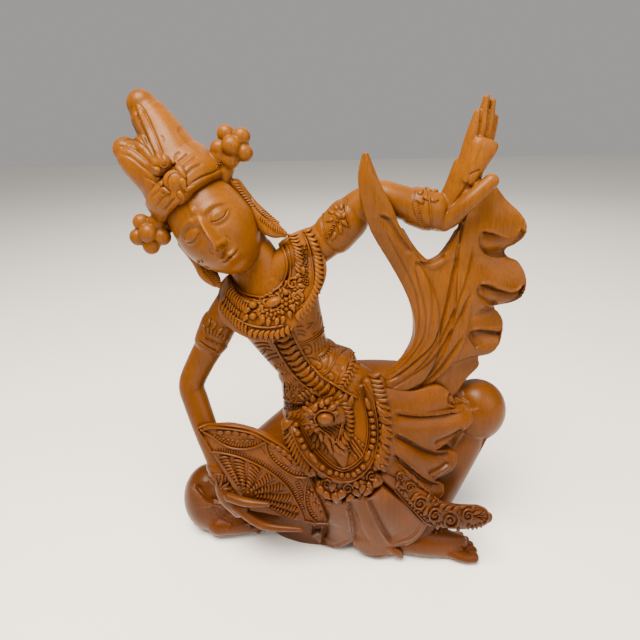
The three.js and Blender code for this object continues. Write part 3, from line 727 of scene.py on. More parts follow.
crownLines = [
    # tall lobe: one long fold between two grooves
    (1.0, 0.9, crownLine((137, 112), (165, 152), (197, 222), (228, 300), (260, 388))),
    (1.9, -1.1, crownLine((131, 124), (152, 176), (186, 258), (214, 326), (240, 380))),
    (1.6, 1.7, crownLine((118, 132), (136, 190), (164, 262), (194, 328), (216, 374))),
    (1.6, 0.7, crownLine((100, 196), (132, 254), (166, 312), (196, 356))),
    (0.8, 0.5, crownLine((240, 262), (252, 276), (255, 296))),
    # low lobe: three soft folds
    (1.5, 0.7, crownLine((52, 284), (115, 284), (168, 322), (214, 380))),
    (1.5, 0.7, crownLine((38, 314), (102, 324), (158, 366), (210, 414))),
    (1.4, 0.5, crownLine((44, 346), (98, 366), (150, 408), (200, 446))),
    (0.9, 0.7, [(143.2, 176.2), (151.5, 180.4), (158.9, 185.4)]),
    # folds drawn to the knot at the brow
    (1.1, 0.8, [(174.7, 160.5), (176.3, 154.7), (180.5, 151.4)]),
    (1.3, 1.0, [(176.3, 163), (183, 158), (188.8, 153)]),
    (1.3, 1.0, [(181.3, 167.1), (189.6, 160.5), (197.9, 156.3)]),
    (1.4, 1.1, [(185.5, 174.6), (193.7, 167.1), (202.9, 163.8)]),
    (1.1, 0.8, [(151.5, 197), (159.8, 189.5)]),
    (1.2, 0.9, [(156.4, 206.1), (161, 199), (168, 194.5)]),
    # upper edge of the band
    (0.9, 1.0, [(189.6, 184.5), (201.2, 177.1), (213.6, 172.1), (221.9, 167.1)]),
    (0.9, 0.9, [(163.9, 211), (167.2, 206.1), (175.5, 197)]),
    (1.0, 0.8, [(171, 214), (176.3, 209.4), (183, 199.5)]),
    # rims of the ear wings
    (0.7, 0.8, [(245, 181), (250, 192), (254, 205), (262, 214), (273, 223)]),
    (0.6, 0.6, [(197, 261), (203, 268), (206, 276)]),
]

crownPiece = oneBlock("crown", addCrown, crown["voxel"], softness=2)
carve(crownPiece, crownLines, runOut=0.2)
overlap(crownPiece, [(1.0, 6, -1, [(176, 128), (181, 137), (190, 147), (201, 152)])])
keepTree(crownPiece)

browKnot = {  # the flower knot over the brow
    "stem": [(167.5, 186.5), (167.4, 178.5), (172.5, 172.6), (180.0, 173.8), (184.0, 180.5)],
    "buds": [  # shape, px, py, heading, size, lift
        (drop, 181.5, 171.5, -62, (9.5, 10.5, 9.5), 0.2),
        (drop, 156.6, 169.5, 150, (5.2, 8.0, 9.0), 0.6),
        (drop, 183.5, 184.5, -75, (7.0, 9.0, 8.0), 0.0),
        (bead, 159.8, 178.2, 0, (3.2, 3.2, 3.8), 0.4),
        (bead, 162.4, 184.0, 0, (2.8, 2.8, 3.6), 0.4),
        (bead, 173.2, 163.8, 0, (2.8, 2.8, 5.2), 0.4),
        (drop, 166, 190.5, -30, (6.0, 6.0, 6.0), 0.2),
        (drop, 190.5, 188.0, 30, (6.5, 6.0, 6.0), 0.2),
        (drop, 181.5, 195.5, -48, (5.6, 8.0, 7.0), 0.2),
    ],
}
onCrown = ["crown", "head"]
bm = bmesh.new()
scroll(bm, 164.6, 163.8, 4.4, onCrown, turns=1.4, start=200, hand=1, width=0.8, height=1.0, lift=0.0)
cord(bm, browKnot["stem"], 0.9, 1.2, onCrown)
placeAll(bm, browKnot["buds"], onCrown)
blossom(bm, 218.5, 164.5, 3.4, 5, onCrown)
# leaf carving down the ear wings and on their pendants
row(
    bm, leaf, crownLine((598, 478), (640, 545), (684, 596)), 3.0, (3.0, 2.8, 2.2), onCrown, lean=62,
    offset=-1.0,
)
wingTip = crownLine((704, 622), (748, 650), (800, 690), (836, 708))
row(bm, leaf, wingTip, 2.6, (3.6, 3.0, 3.6), onCrown, lean=58, offset=1.8)
wingTip = crownLine((712, 640), (750, 672), (800, 706), (832, 714))
row(bm, leaf, wingTip, 2.6, (3.4, 3.0, 3.6), onCrown, lean=-58, offset=-1.8)
cord(bm, crownLine((700, 610), (745, 655), (798, 698), (840, 712)), 0.7, 1.1, onCrown, taper=(1.0, 0.5))
scroll(bm, 198.8, 262.4, 3.4, onCrown, turns=1.2, start=40, hand=-1, width=0.8, height=1.2)
pendant = crownLine((452, 885), (475, 918), (498, 950), (512, 972))
for side in (1, -1):
    row(bm, leaf, pendant, 2.6, (3.2, 3.0, 3.4), onCrown, lean=55 * side, offset=1.5 * side)
ornament("browKnot", bm)


torso = {
    "voxel": 0.5,
    "trunk": [
        [1, 4, 84, 42, 25], [-2, 4, 112, 40, 26], [-8, 3, 136, 33, 22], [-17, 1, 154, 22, 16.4],
        [-26.6, 0, 169, 22.6, 17], [-34, -1, 187, 27, 19], [-41, -1, 205, 30, 19], [-46, 0, 220, 23, 14],
    ],
    "shoulders": [  # from one to the other, then the right and the left upper arm
        [[-71, 2, 205, 11.5, 11.5], [-46, 2, 221, 14, 14], [-14, 1, 243, 12.5, 12]],
        [[-71, 2, 205, 11.5, 11.5], [-79, 2, 194, 11, 10.5], [-86, 1, 180, 10.6, 9.6]],
        [[-14, 1, 243, 12.5, 12], [1, 0, 254, 12.2, 11], [8, 0, 261, 11.6, 10.6]],
    ],
}


def addTorso(bm):
    addLimb(bm, torso["trunk"], sides=96, step=1.5, capRings=6)
    for stations in torso["shoulders"]:
        addLimb(bm, stations, sides=40, step=1.5)


torsoPiece = oneBlock("torso", addTorso, torso["voxel"], softness=4)

collar = {
    "voxel": 0.6,
    "inner": [
        [-70, 1, 225], [-65, -13, 218], [-50, -18, 214], [-36, -16, 219], [-29, -10, 231], [-36, 1, 245],
    ],
    "outer": [
        [-79, 3, 211], [-73, -12, 197], [-46, -23, 188], [-23, -21, 201], [-5, -13, 230], [-13, 2, 257],
    ],
    "innerBack": [[-70, 0, 225], [-60, 14, 227], [-46, 17, 231], [-36, 14, 239], [-36, 0, 245]],
    "outerBack": [[-79, 2, 211], [-70, 15, 203], [-44, 21, 203], [-16, 17, 226], [-13, 1, 257]],
    "thickness": 4.6,
}


def addCollar(bm):
    def swell(u, v):
        return 2.2 * np.sin(np.pi * v * 0.8) * np.clip(np.minimum(7 * u, 7 * (1 - u)), 0, 1)

    addSheet(bm, collar["inner"], collar["outer"], 80, 24, collar["thickness"], rise=swell)
    addSheet(
        bm, collar["innerBack"], collar["outerBack"], 60, 20, collar["thickness"],
        rise=lambda u, v: -2.2 * np.sin(np.pi * v),
    )


collarPiece = oneBlock("collar", addCollar, collar["voxel"], softness=3)


# Stippling with a punch: small round dents scattered along a band
def pits(points, pitch, spread, seed=3):
    dent = {"width": 0.5, "depth": 0.45, "apart": 1.3}
    dice = np.random.default_rng(seed)
    strokes = []
    for x, y in smoothLine(points, pitch):
        for _ in range(max(1, int(spread / dent["apart"]))):
            dx, dy = dice.uniform(-spread, spread), dice.uniform(-pitch / 2, pitch / 2)
            strokes.append((dent["width"], dent["depth"], [(x + dx, y + dy)]))
    return strokes


collarRelief = {
    "rim": [
        (234.9, 284.4), (241, 291.5), (251.2, 295.6), (263.5, 296.6), (274.7, 290.5), (283.9, 280.3),
        (287.4, 266), (284.9, 252.8), (280.8, 244.6),
    ],
    "innerRim": [
        (236, 289.5), (251.2, 300), (263.5, 300.4), (276.7, 294.2), (288, 282.3), (291, 268),
        (289, 251.7), (284.9, 243.0),
    ],
    "rightCord": [(303.5, 232), (309, 247), (312, 261), (313.5, 278.3), (309.4, 296.6), (300.2, 307.5)],
    "lowCord": [(220.6, 303.8), (228, 311), (236, 318), (251.2, 325.2), (267.6, 327.4), (283, 325.2)],
    "stipple": [(304, 245.6), (306.3, 261), (307.6, 276.2), (306.3, 287)],
    "outerLeaves": [
        (304, 226), (312.5, 240), (317.5, 258), (318.5, 279), (313.5, 296.5), (305, 309.5), (297, 317.5),
    ],
    "leafRows": [  # shape, pitch, size, lean, lift, line: fat leaves outside, then thin ones inside
        (crescent, 5.2, (5.8, 8.0, 8.0), 74, 0.9, [(290, 329), (278, 334), (264, 334.5), (249, 332)]),
        (crescent, 3.7, (6.2, 5.6, 6.6), -60, 0.7, [(221, 303), (228, 312.5), (237, 322), (248, 330)]),
        (crescent, 3.6, (6.2, 5.4, 6.4), 54, 0.7, [(291, 234), (296.5, 245), (299, 258), (298.5, 272)]),
        (crescent, 3.1, (6.4, 4.6, 5.8), -60, 0.7, [(228, 288), (233, 296), (239.5, 303.5), (248, 309.5)]),
        (drop, 3.0, (3.6, 3.6, 4.6), -64, 0.5, [(224, 298), (231, 306.5), (240, 315)]),
    ],
    "buds": [  # shape, px, py, heading, size, lift: first the half moon under the rim
        (bead, 274, 302.2, 24, (9.6, 5.4, 6.4), 0.4),
        (bead, 253.3, 304.8, 0, (4.4, 4.2, 6.0), 0.8),
        (bead, 253.5, 316, 0, (4.0, 3.8, 5.4), 0.8),
        (drop, 262, 309, -75, (4.6, 5.5, 5.5), 0.2),
        (drop, 258, 311.5, -120, (4.4, 5.5, 5.5), 0.2),
        (bead, 286.2, 292.6, 0, (3.8, 3.6, 5.4), 0.8),
        (drop, 301.6, 286, -15, (5.0, 6.0, 6.0), 0.2),
        (drop, 300, 294, -50, (5.0, 6.0, 6.0), 0.2),
        (drop, 294, 296, -95, (4.6, 5.6, 6.0), 0.2),
        (drop, 297.5, 275.5, 60, (5.0, 6.5, 5.5), 0.1),
        (bead, 282.6, 312.4, 0, (2.6, 2.6, 3.6), 0.3),
    ],
    "sprays": [  # px, py, heading
        (293, 308, -60), (290, 315, -80), (283, 320, -100), (277, 322, -100), (262.5, 320.5, -110),
        (268.5, 322.5, -95), (247.5, 310.5, -140), (246, 318, -130), (303.5, 271, -80), (301, 262, -70),
    ],
}
carve(
    collarPiece,
    pits(collarRelief["stipple"], 1.6, 2.6) + pits(
        [(233, 300), (242, 312), (256, 320)], 2.2, 2.0, seed=5,
    ),
)
keepTree(collarPiece)
onCollar = ["collar", "torso"]
bm = bmesh.new()
for name, width in (("rim", 1.3), ("innerRim", 1.0), ("rightCord", 1.1), ("lowCord", 1.1)):
    cord(bm, collarRelief[name], width, 1.5, onCollar, lift=0.3)
row(
    bm, crescent, collarRelief["outerLeaves"], 4.6, (6.0, 7.6, 8.0), onCollar, lean=52, lift=0.9,
    grow=(0.9, 1.12),
)
placeRows(bm, collarRelief["leafRows"], onCollar)
fillIn(bm, drop, [(252, 303), (300, 275), (303, 300), (262, 322)], 4.2, (3.2, 3.8, 5.0), onCollar, seed=4)
fillIn(bm, bead, [(300, 246), (306, 246), (308, 284), (301, 284)], 2.6, (1.0, 1.0, 2.4), onCollar, seed=5)
# half moon and buds under the rim, with blossoms, a scroll and sprays around them
placeAll(bm, collarRelief["buds"], onCollar)
cord(
    bm, [(263.5, 300.5), (266.5, 306.8), (273.5, 309.4), (280.5, 306), (285, 297.5)], 0.9, 1.6, onCollar,
    lift=0.4,
)
blossom(bm, 271.6, 315, 5.8, 5, onCollar, height=1.6)
blossom(bm, 286.6, 304.2, 6.8, 6, onCollar, height=1.6)
scroll(bm, 293.6, 283.4, 6.0, onCollar, turns=1.3, start=60, width=1.4, height=2.8, lift=0.6)
for px, py, heading in collarRelief["sprays"]:
    place(bm, drop, px, py, heading, (4.8, 6.6, 7.0), onCollar, lift=0.6)
# blossom at the shoulder
for x, y, r in ((293, 228.5, 3.6), (286, 233, 3.2), (299.5, 224.5, 3.2)):
    scroll(bm, x, y, r, onCollar, turns=1.1, start=120, width=0.9, height=1.5)
ornament("collarCarving", bm)


arms = {  # stations [x, y, z, half width, half depth], as in every limb
    "voxel": 0.6,
    "bandVoxel": 0.5,
    "right": [
        [-84, 1, 184, 10.6, 9.8], [-87.5, 1, 177, 10.6, 9.6], [-98.5, 0, 159, 9.8, 9.0],
        [-106, -3, 143, 9.3, 8.6], [-103.2, -7, 130, 9.4, 8.4], [-96, -15, 109, 9, 7.8],
        [-89.8, -21, 89, 7.8, 7.0], [-86, -25, 72, 7, 6.2],
    ],
    "left": [
        [3, 0, 257, 12, 11], [13, 0, 267, 11.4, 10.5], [27, -2, 276, 10.4, 10.5],
        [38.9, -4, 273.8, 10.4, 10.4], [50.3, -5, 270.7, 10.2, 10.2], [60, -6, 267.5, 10, 9.5],
    ],
    "rightPalm": [[-86, -26, 70, 6.5, 6], [-82, -31, 61, 7.5, 5.5], [-72, -35, 53, 8.5, 5]],
    "leftPalm": [
        [60, -6, 266, 9.5, 8.5], [69, -5, 265.5, 10.5, 8], [76, -5, 276, 10.5, 7], [81, -5, 294, 9.5, 6],
    ],
    "rightFingers": [  # root, middle, tip, thickness
        ((-76, -36, 56), (-55, -41, 43), (-27, -43, 40.5), 3.6),
        ((-80, -36, 66), (-66, -41, 65.5), (-50, -42.5, 65), 3.6),
    ],
    "leftFingers": [
        ((76, -7, 286), (79.6, -7.4, 308), (82.3, -7, 323.5), 4.0),
        ((81, -5, 288), (85, -5.4, 312), (87, -5, 331), 4.0),
        ((85, -2, 288), (89.8, -2.4, 311), (91.6, -2, 329), 3.9),
        ((87, 1, 288), (92.6, 0.6, 308), (95.4, 0.6, 320.5), 3.4),
    ],
    "thumb": [[68, -9, 261, 5.6], [79, -13.8, 273, 5.2], [92.5, -13.6, 286, 4.6]],
    "pinched": [  # the end of the scarf, between palm and thumb
        [80, -10, 286, 5.4, 3.6], [84, -11, 297, 6.6, 4.0], [87.2, -11, 304.4, 7.6, 3.6],
        [88.4, -10.6, 308, 7.2, 2.8],
    ],
    "armlets": [
        [[-82, 2, 189, 12.6, 11.8], [-88.5, 1, 176.5, 12.0, 11.2]],
        [[0, 0, 253, 14.0, 12.6], [9, 0, 262.5, 13.8, 12.6]],
    ],
    "bracelets": [
        [[-89, -22, 84, 8.8, 8.2], [-87, -24, 77, 8.6, 8.0]],
        [[51, -5, 270.5, 12.2, 11.6], [59, -6, 268, 12.6, 12.0]],
    ],
}


def addFinger(bm, start, middle, tip, thick):
    addLimb(
        bm, [[*start, thick], [*middle, thick * 0.95], [*tip, thick * 0.5]], sides=20, step=0.8,
        capRings=6,
    )


def addRightArm(bm):
    addLimb(bm, arms["right"], sides=40, step=1.5, capRings=6)
    addLimb(bm, arms["bracelets"][0], sides=40, step=1.0)
    addLimb(bm, arms["rightPalm"], sides=28)
    for finger in arms["rightFingers"]:
        addFinger(bm, *finger)


def addLeftArm(bm):
    addLimb(bm, arms["left"], sides=40, step=1.5, capRings=6)
    addLimb(bm, arms["bracelets"][1], sides=40, step=1.0)
    addLimb(bm, arms["leftPalm"], sides=36)
    for finger in arms["leftFingers"]:
        addFinger(bm, *finger)
    addLimb(bm, arms["pinched"], sides=28, step=0.8, capRings=8, roundness=0.6)
    addLimb(bm, arms["thumb"], sides=28, step=0.8, capRings=8)


def addArmlets(bm):
    for band in arms["armlets"]:
        addLimb(bm, band, sides=40, step=1.0)


oneBlock("rightArm", addRightArm, arms["voxel"], softness=4)
leftArmPiece = oneBlock("leftArm", addLeftArm, arms["voxel"], softness=4)
armletsPiece = oneBlock("armlets", addArmlets, arms["bandVoxel"], softness=3)


# Armlets and bracelets: a border line and a row of curls round each
onArmlets = ["armlets", "rightArm", "leftArm"]
carve(
    armletsPiece,
    [
        (0.8, 0.8, [(199.5, 341), (208, 347), (217, 351)]),
        (0.7, 0.7, [(205, 322), (214, 318), (224, 320)]),
        (0.8, 0.8, [(324, 205), (322, 222), (327, 243)]),
        (0.8, 0.8, [(346, 198), (345, 212), (350, 228)]),
    ],
)
keepTree(armletsPiece)
bm = bmesh.new()
for i in range(5):
    scroll(
        bm, 207.5 + 4.9 * i, 338.6 + 2.0 * i, 2.5, onArmlets, turns=1.0, start=150, width=0.8, height=1.5,
    )
row(bm, drop, [(203, 331), (210, 331), (219, 335), (228, 341)], 3.4, (3.6, 4.6, 4.6), onArmlets, lean=-80)
for x, y, heading in ((209, 322, 70), (204, 327, 110), (214.5, 325.5, 50), (220.5, 330.5, 40)):
    place(bm, drop, x, y, heading, (4.6, 5.4, 5.4), onArmlets)
cord(bm, [(199.5, 342), (208, 348.4), (216, 352)], 1.0, 1.3, onArmlets)
for i in range(6):
    scroll(bm, 326.5 + 2.4 * i, 238.5 - 4.0 * i, 2.6, onArmlets, turns=1.0, start=20, width=0.8, height=1.5)
for x, y, heading in (
    (331, 212, 150), (336, 207, 120), (341.5, 206, 90), (330, 220, 190), (338, 215, 140),
    (344.5, 214.5, 60), (345, 223.5, -40), (340.5, 230, -80), (334, 236, -120),
):
    place(bm, drop, x, y, heading, (4.8, 5.6, 5.4), onArmlets)
cord(bm, [(324.5, 206), (322.4, 222), (327.4, 242)], 1.0, 1.3, onArmlets)
cord(bm, [(346.5, 199), (345.6, 212), (350, 227)], 1.0, 1.3, onArmlets)
ornament("armletCarving", bm)

onBracelets = ["leftArm", "rightArm"]
bm = bmesh.new()
for x, y, heading in (
    (421, 192, 60), (428, 189.5, 110), (435, 191, 30), (420, 201, 160), (427, 198.5, -30),
    (434.5, 200, 10),
):
    place(bm, drop, x, y, heading, (4.6, 6.2, 5.8), onBracelets)
row(
    bm, leaf, [(415.5, 203), (417.5, 212), (422, 221), (429, 228)], 2.6, (4.0, 3.6, 4.0), onBracelets,
    lean=56,
)
cord(bm, [(415, 191), (413.6, 203), (417, 216), (424, 228)], 1.0, 1.3, onBracelets)
cord(bm, [(428.5, 188), (429.6, 203), (431, 216), (432.5, 229)], 1.0, 1.3, onBracelets)
row(bm, drop, [(214, 476), (224, 478), (236, 484)], 3.4, (3.4, 4.6, 4.6), onBracelets, lean=-70)
cord(bm, [(212, 474.5), (224, 474.5), (238, 480)], 1.0, 1.2, onBracelets)
place(bm, bead, 482.8, 174.8, 42, (3.6, 2.3, 1.6), onBracelets, lift=0.1)  # thumb nail
ornament("braceletCarving", bm)

# The thumb's nail, and the creases between fingers, palm and wrist
carve(
    leftArmPiece,
    [
        (0.8, 0.8, [(478.5, 137), (480.6, 122), (481.2, 108)]),
        (0.8, 0.8, [(486.5, 134), (488.4, 118), (489.3, 100)]),
        (0.8, 0.8, [(494, 134), (496, 121), (496.6, 110)]),
        (0.55, 0.5, [(482, 173), (479, 176.5), (481.5, 178.8), (487, 175.5)]),
        (0.6, 0.5, [(474, 168), (480, 150), (484, 140)]),
        (0.9, 0.9, [(445, 213), (452, 206), (462, 193), (470, 180)]),
        (1.0, 1.0, [(469, 175), (474, 172.5), (480, 170)]),
    ],
)
keepTree(leftArmPiece)


scarf = {
    "voxel": 0.6,
    "strandA": [
        [28.5, -16, 149], [39.3, -15, 160], [48, -13, 171], [53, -12, 185.5], [51.4, -11, 202],
        [45, -11, 219], [35.3, -12, 237], [24.8, -14, 254], [19.2, -16, 266.4], [15.5, -17, 278],
        [14.2, -17, 291], [16.4, -16, 303.5],
    ],
    "strandB": [
        [34.6, -16, 135.5], [50, -14, 140], [62, -12, 152], [69, -11, 170], [70, -11, 189],
        [66.4, -11, 211], [58.7, -12, 228], [48.5, -13, 248], [40, -15, 261], [34.2, -16, 274],
        [26.5, -17, 288], [19.5, -16, 304],
    ],
    "wrapEdge": [[20, -20, 281, 1.8], [27, -20, 268, 2.4], [36, -17, 257, 2.2], [50, -14, 243, 1.6]],
    "notch": [
        [42, -8, 256, 2.2], [47, -8.4, 247, 2.8], [53, -8, 239, 3.2], [60, -7.6, 233.6, 3.3],
        [67, -6.6, 234.8, 3.3], [74, -5.6, 240.6, 3.1], [79, -4.6, 249.5, 2.8], [81.5, -4.2, 261, 2.6],
        [85, -4, 271, 2.4],
    ],
    "webA": [[40, -13, 140], [58, -11, 158], [66, -11, 178], [64, -10, 205], [52, -9.5, 238]],
    "webB": [[60, -11, 138], [84, -9, 168], [90, -7, 200], [82, -6, 232], [77.5, -5, 256]],
    "fallA": [
        [34, -16, 136], [60, -12, 150], [76, -10, 176], [80, -8, 205], [79, -6, 232], [79, -5, 258],
        [86, -4, 274], [93, -4, 285],
    ],
    "fallB": [
        [81.8, -7, 128.8], [92, -5, 144], [102.7, -2, 154.5], [102.1, 0, 160.6], [101.5, 1, 166.4],
        [107.4, 0, 170.2], [113.1, 0, 174.9], [117.4, 0, 187.8], [113.8, 0, 196.4], [110.2, 3, 200.5],
        [119.4, 2, 207.4], [124.8, 0, 215.3], [125, 0, 225.1], [120.4, 0, 233.5], [113.3, 3, 238.4],
        [118.2, 2, 245.1], [120.5, 0, 254.6], [115.7, 0, 264.6], [106.7, -1, 273.4], [96.7, -3, 284.3],
    ],
}


def addScarf(bm):
    addSheet(bm, scarf["strandA"], scarf["strandB"], 120, 18, 8, rise=lambda u, v: 2.6 * np.sin(np.pi * v))
    addLimb(bm, scarf["wrapEdge"], sides=20)
    addLimb(bm, scarf["notch"], sides=24, step=1.0)
    addSheet(
        bm, scarf["webA"], scarf["webB"], 70, 40, 6,
        rise=lambda u, v: -13 * u * v * (1 - v),
        slip=lambda u, v: -9 * u**4 * np.sin(np.pi * v),
    )

    def waves(u, v):
        fade = np.clip(np.minimum(3 * u, 5 * (1 - u)), 0, 1)
        gather = 0.5 * np.cos(2 * np.pi * 2 * v) * (1 - v)
        return gather + 4.5 * v**2 * np.cos(2 * np.pi * 3.6 * u) * fade

    addSheet(bm, scarf["fallA"], scarf["fallB"], 150, 60, 5.5, rise=waves)


scarfGrooves = [
    # grooves that gather the cloth at the hip
    (
        0.9, 0.9,
        scarfLine(
            (75, 640), (150, 780), (205, 890), (245, 990), (262, 1100), (258, 1200), (230, 1290),
            (160, 1370), (75, 1430),
        ),
    ),
    (
        1.0, 1.1,
        scarfLine(
            (238, 840), (265, 930), (290, 1030), (305, 1130), (290, 1230), (240, 1310), (170, 1390),
            (80, 1445),
        ),
    ),
    (
        1.3, 1.8,
        scarfLine(
            (508, 560), (485, 680), (455, 850), (432, 980), (402, 1110), (370, 1220), (330, 1290),
            (240, 1370), (150, 1440), (85, 1470),
        ),
    ),
    (
        1.1, 1.2,
        scarfLine(
            (565, 720), (545, 830), (510, 960), (470, 1060), (430, 1150), (390, 1230), (330, 1320),
            (260, 1400), (170, 1470), (95, 1500),
        ),
    ),
    (
        1.1, 1.3,
        scarfLine(
            (560, 975), (528, 1030), (488, 1120), (440, 1200), (390, 1285), (320, 1370), (230, 1440),
            (150, 1490), (95, 1512),
        ),
    ),
    (
        1.1, 1.2,
        scarfLine(
            (515, 1215), (480, 1262), (430, 1330), (370, 1410), (290, 1480), (200, 1528), (120, 1545),
        ),
    ),
    (2.0, 1.2, scarfLine((330, 900), (345, 1010), (340, 1130), (310, 1250), (240, 1350))),
    (0.8, 0.5, scarfLine((60, 570), (100, 590), (130, 600))),
]
# edges of the ruffles: the cloth under each turn is pressed back
scarfTurns = [
    (4.4, 9, 1, scarfLine((600, 655), (660, 664), (700, 680), (745, 690), (790, 672), (822, 640))),
    (
        2.6, 6.0, -1,
        scarfLine((596, 660), (586, 692), (592, 735), (610, 768), (645, 793), (695, 800), (748, 792)),
    ),
    (4.4, 9, 1, scarfLine((588, 942), (640, 944), (700, 970), (762, 984), (805, 972), (832, 940))),
    (2.6, 6.0, -1, scarfLine((582, 950), (576, 980), (592, 1018), (622, 1042), (660, 1060), (690, 1068))),
    (4.0, 9, 1, scarfLine((536, 1196), (590, 1186), (650, 1190), (690, 1196), (714, 1188))),
    (2.4, 6.0, -1, scarfLine((526, 1212), (536, 1238), (556, 1268), (576, 1298))),
    (1.6, 6.0, 1, scarfLine((45, 560), (95, 580), (135, 625), (180, 700), (235, 765))),
    (1.8, 7.0, -1, scarfLine((505, 545), (495, 640), (470, 770), (448, 880))),
    (1.6, 6.0, 1, scarfLine((245, 815), (300, 822), (350, 805), (400, 775))),
]

scarfPiece = oneBlock("scarf", addScarf, scarf["voxel"], softness=3)
overlap(scarfPiece, scarfTurns, lip=0.35)
carve(scarfPiece, scarfGrooves, runOut=0.08)
keepTree(scarfPiece)


legs = {
    "voxel": 0.9,
    "rightThigh": [[-20, 5, 98, 26, 24], [-60, 5, 66, 22, 22], [-96, 4, 38, 20, 20]],
    "rightShin": [[-98, -2, 14, 15, 20], [-70, 2, 14, 14, 20], [-40, 4, 16, 14, 18]],
    "leftThigh": [[0, 8, 126, 27, 24], [48, 10, 126, 25, 21], [86, 8, 118, 21, 19], [103, 5, 115, 20, 19]],
    "leftShin": [
        [102, 3, 104, 20, 14], [90, -5, 76, 18.5, 12], [76, -15, 44, 16, 10], [64, -26, 18, 12, 10],
    ],
    "seat": [[0, 3, 116, 38, 27], [0, -3, 82, 38, 29], [-6, 0, 44, 42, 28], [-10, 4, 2, 50, 26]],
    "cloth": [  # under the pleats, low and high
        [[-84, 14, 24, 16, 16], [-14, 16, 34, 34, 22], [40, 0, 30, 26, 26]],
        [[26, -4, 104, 34, 15], [56, -6, 88, 34, 12], [80, -6, 76, 26, 9]],
    ],
    "knees": [((-105.5, 4, 27), (23, 23, 31)), ((106.5, 3, 114), (22.5, 20, 25))],
    "tassels": [  # px, py, heading
        (247.5, 523, 200), (252.5, 528.5, -110), (258.5, 531.5, -95), (264.5, 528, -75), (269.5, 532, -80),
        (274.5, 528.5, -50),
    ],
}


def addLegs(bm):
    for name, sides in (
        ("rightThigh", 48), ("rightShin", 40), ("leftThigh", 48), ("leftShin", 40), ("seat", 56),
    ):
        addLimb(bm, legs[name], sides=sides)
    for stations in legs["cloth"]:
        addLimb(bm, stations, sides=48)
    for centre, radii in legs["knees"]:
        addBall(bm, centre, radii, sides=56, rings=40)


legsPiece = oneBlock("legs", addLegs, legs["voxel"], softness=5)
# the cloth wraps the knees in two layers
overlap(
    legsPiece,
    [
        (3.4, 13, -1, kneeLine((485, 95), (490, 140), (525, 185), (580, 232), (650, 252), (710, 256))),
        (2.8, 11, 1, kneeLine((640, 265), (645, 300), (668, 342), (700, 362), (780, 398))),
        (2.2, 12, 1, [(463, 431), (470, 435), (480, 437.4), (491, 436)]),
        (1.6, 8, -1, [(449, 400), (455, 396), (461, 399), (467, 403), (469.5, 412)]),
    ],
    lip=0.3,
)
keepTree(legsPiece)
bm = bmesh.new()
for px, py, heading in legs["tassels"]:
    place(bm, drop, px, py, heading, (4.0, 5.4, 6.0), ["legs"], lift=0.4)
row(
    bm, leaf, [(248, 519), (258, 526), (268, 527), (277, 524)], 3.2, (3.4, 3.6, 4.4), ["legs"], lean=-72,
    lift=0.3,
)
ornament("hemTassels", bm)

foot = {
    "voxel": 0.6,
    "instep": [
        [52, -24, 13, 13.6, 13], [72, -27, 12, 13.6, 12.5], [85, -29, 9.4, 12.6, 9.4],
        [96, -29, 6.6, 11.4, 6.6],
    ],
    "toes": [  # depth, tip, thickness
        (-38, 106, 4.6), (-31.8, 107.5, 3.5), (-26.4, 106.5, 3.2), (-21.4, 104.5, 3.0), (-16.8, 101.5, 2.7),
    ],
}


def addFoot(bm):
    addLimb(bm, foot["instep"], sides=40)
    for y, tip, thick in foot["toes"]:
        root = [88, y * 0.6 - 12, 7.5, thick, thick]
        knuckle = [tip - 7, y, 5.6, thick * 0.8, thick * 1.05]
        addLimb(bm, [root, knuckle, [tip, y, 5.2, thick * 0.9, thick]], sides=20, step=0.8)


footPiece = oneBlock("foot", addFoot, foot["voxel"], softness=3)


skirt = {
    "voxel": 0.65,
    # pleats thrown over the thigh: upper and lower edge as photograph px and depth, rise, bulge of the end
    "thrown": [
        ([(376, 386, -21), (410, 390, -17), (436, 384, -13), (448, 392, -11)],
         [(382, 412, -28), (414, 417, -23), (440, 414.5, -17), (452, 409, -14)], 3, 0),
        ([(380, 408, -28), (414, 413.5, -23), (442, 411, -18), (467, 405, -13.5)],
         [(386, 432, -33), (410, 446, -29.5), (424, 450.5, -26), (437, 445, -22.5)], 4.5, 11),
        ([(382, 426, -33), (408, 441, -30), (424, 448.5, -26), (452, 448, -18)],
         [(384, 452, -36), (405, 462, -34), (420, 474, -30.5), (431, 477, -27)], 4.5, 7),
        ([(382, 450, -36), (404, 461, -34), (420, 474, -30.5), (440, 481, -25)],
         [(382, 468, -38.5), (400, 478, -37.5), (415, 488, -35), (430, 499, -31)], 3, 4),
    ],
    # pleats that fall to the table under the apron: left and right edge, rise, bulge of the hem
    "falling": [
        (
            [(316, 484, -38), (312, 512, -32), (311, 535, -21)],
            [(346, 500, -39), (352, 521, -36), (352, 541, -31)], 2.5, 7,
        ),
        (
            [(346, 498, -40.5), (352, 521, -38.5), (353, 544, -34.5)],
            [(367, 495, -40.5), (380, 525, -39.5), (394, 550, -36)], 2.2, 8.5,
        ),
        (
            [(366, 499, -41.5), (379, 524, -40.5), (391, 546, -37)],
            [(382, 486, -41), (405, 504, -40.5), (427, 524, -36)], 2.2, 5.5,
        ),
    ],
    # the plain part at the figure's right: seams from waist to hem, and how far the cloth swells between them
    "waist": [[-44, -12, 98], [-24, -22, 90], [-8, -32, 82]],
    "hem": [[-78, 6], [-46, -1], [-21, -8]],
    "bulge": [5, 9],
    # the small rolled end of the hem
    "roll": [((388, 546, -36.5), (3, 2.6)), ((396, 551, -37.5), (4.2, 2.8)), ((401, 556, -37.5), (2.2, 2))],
}


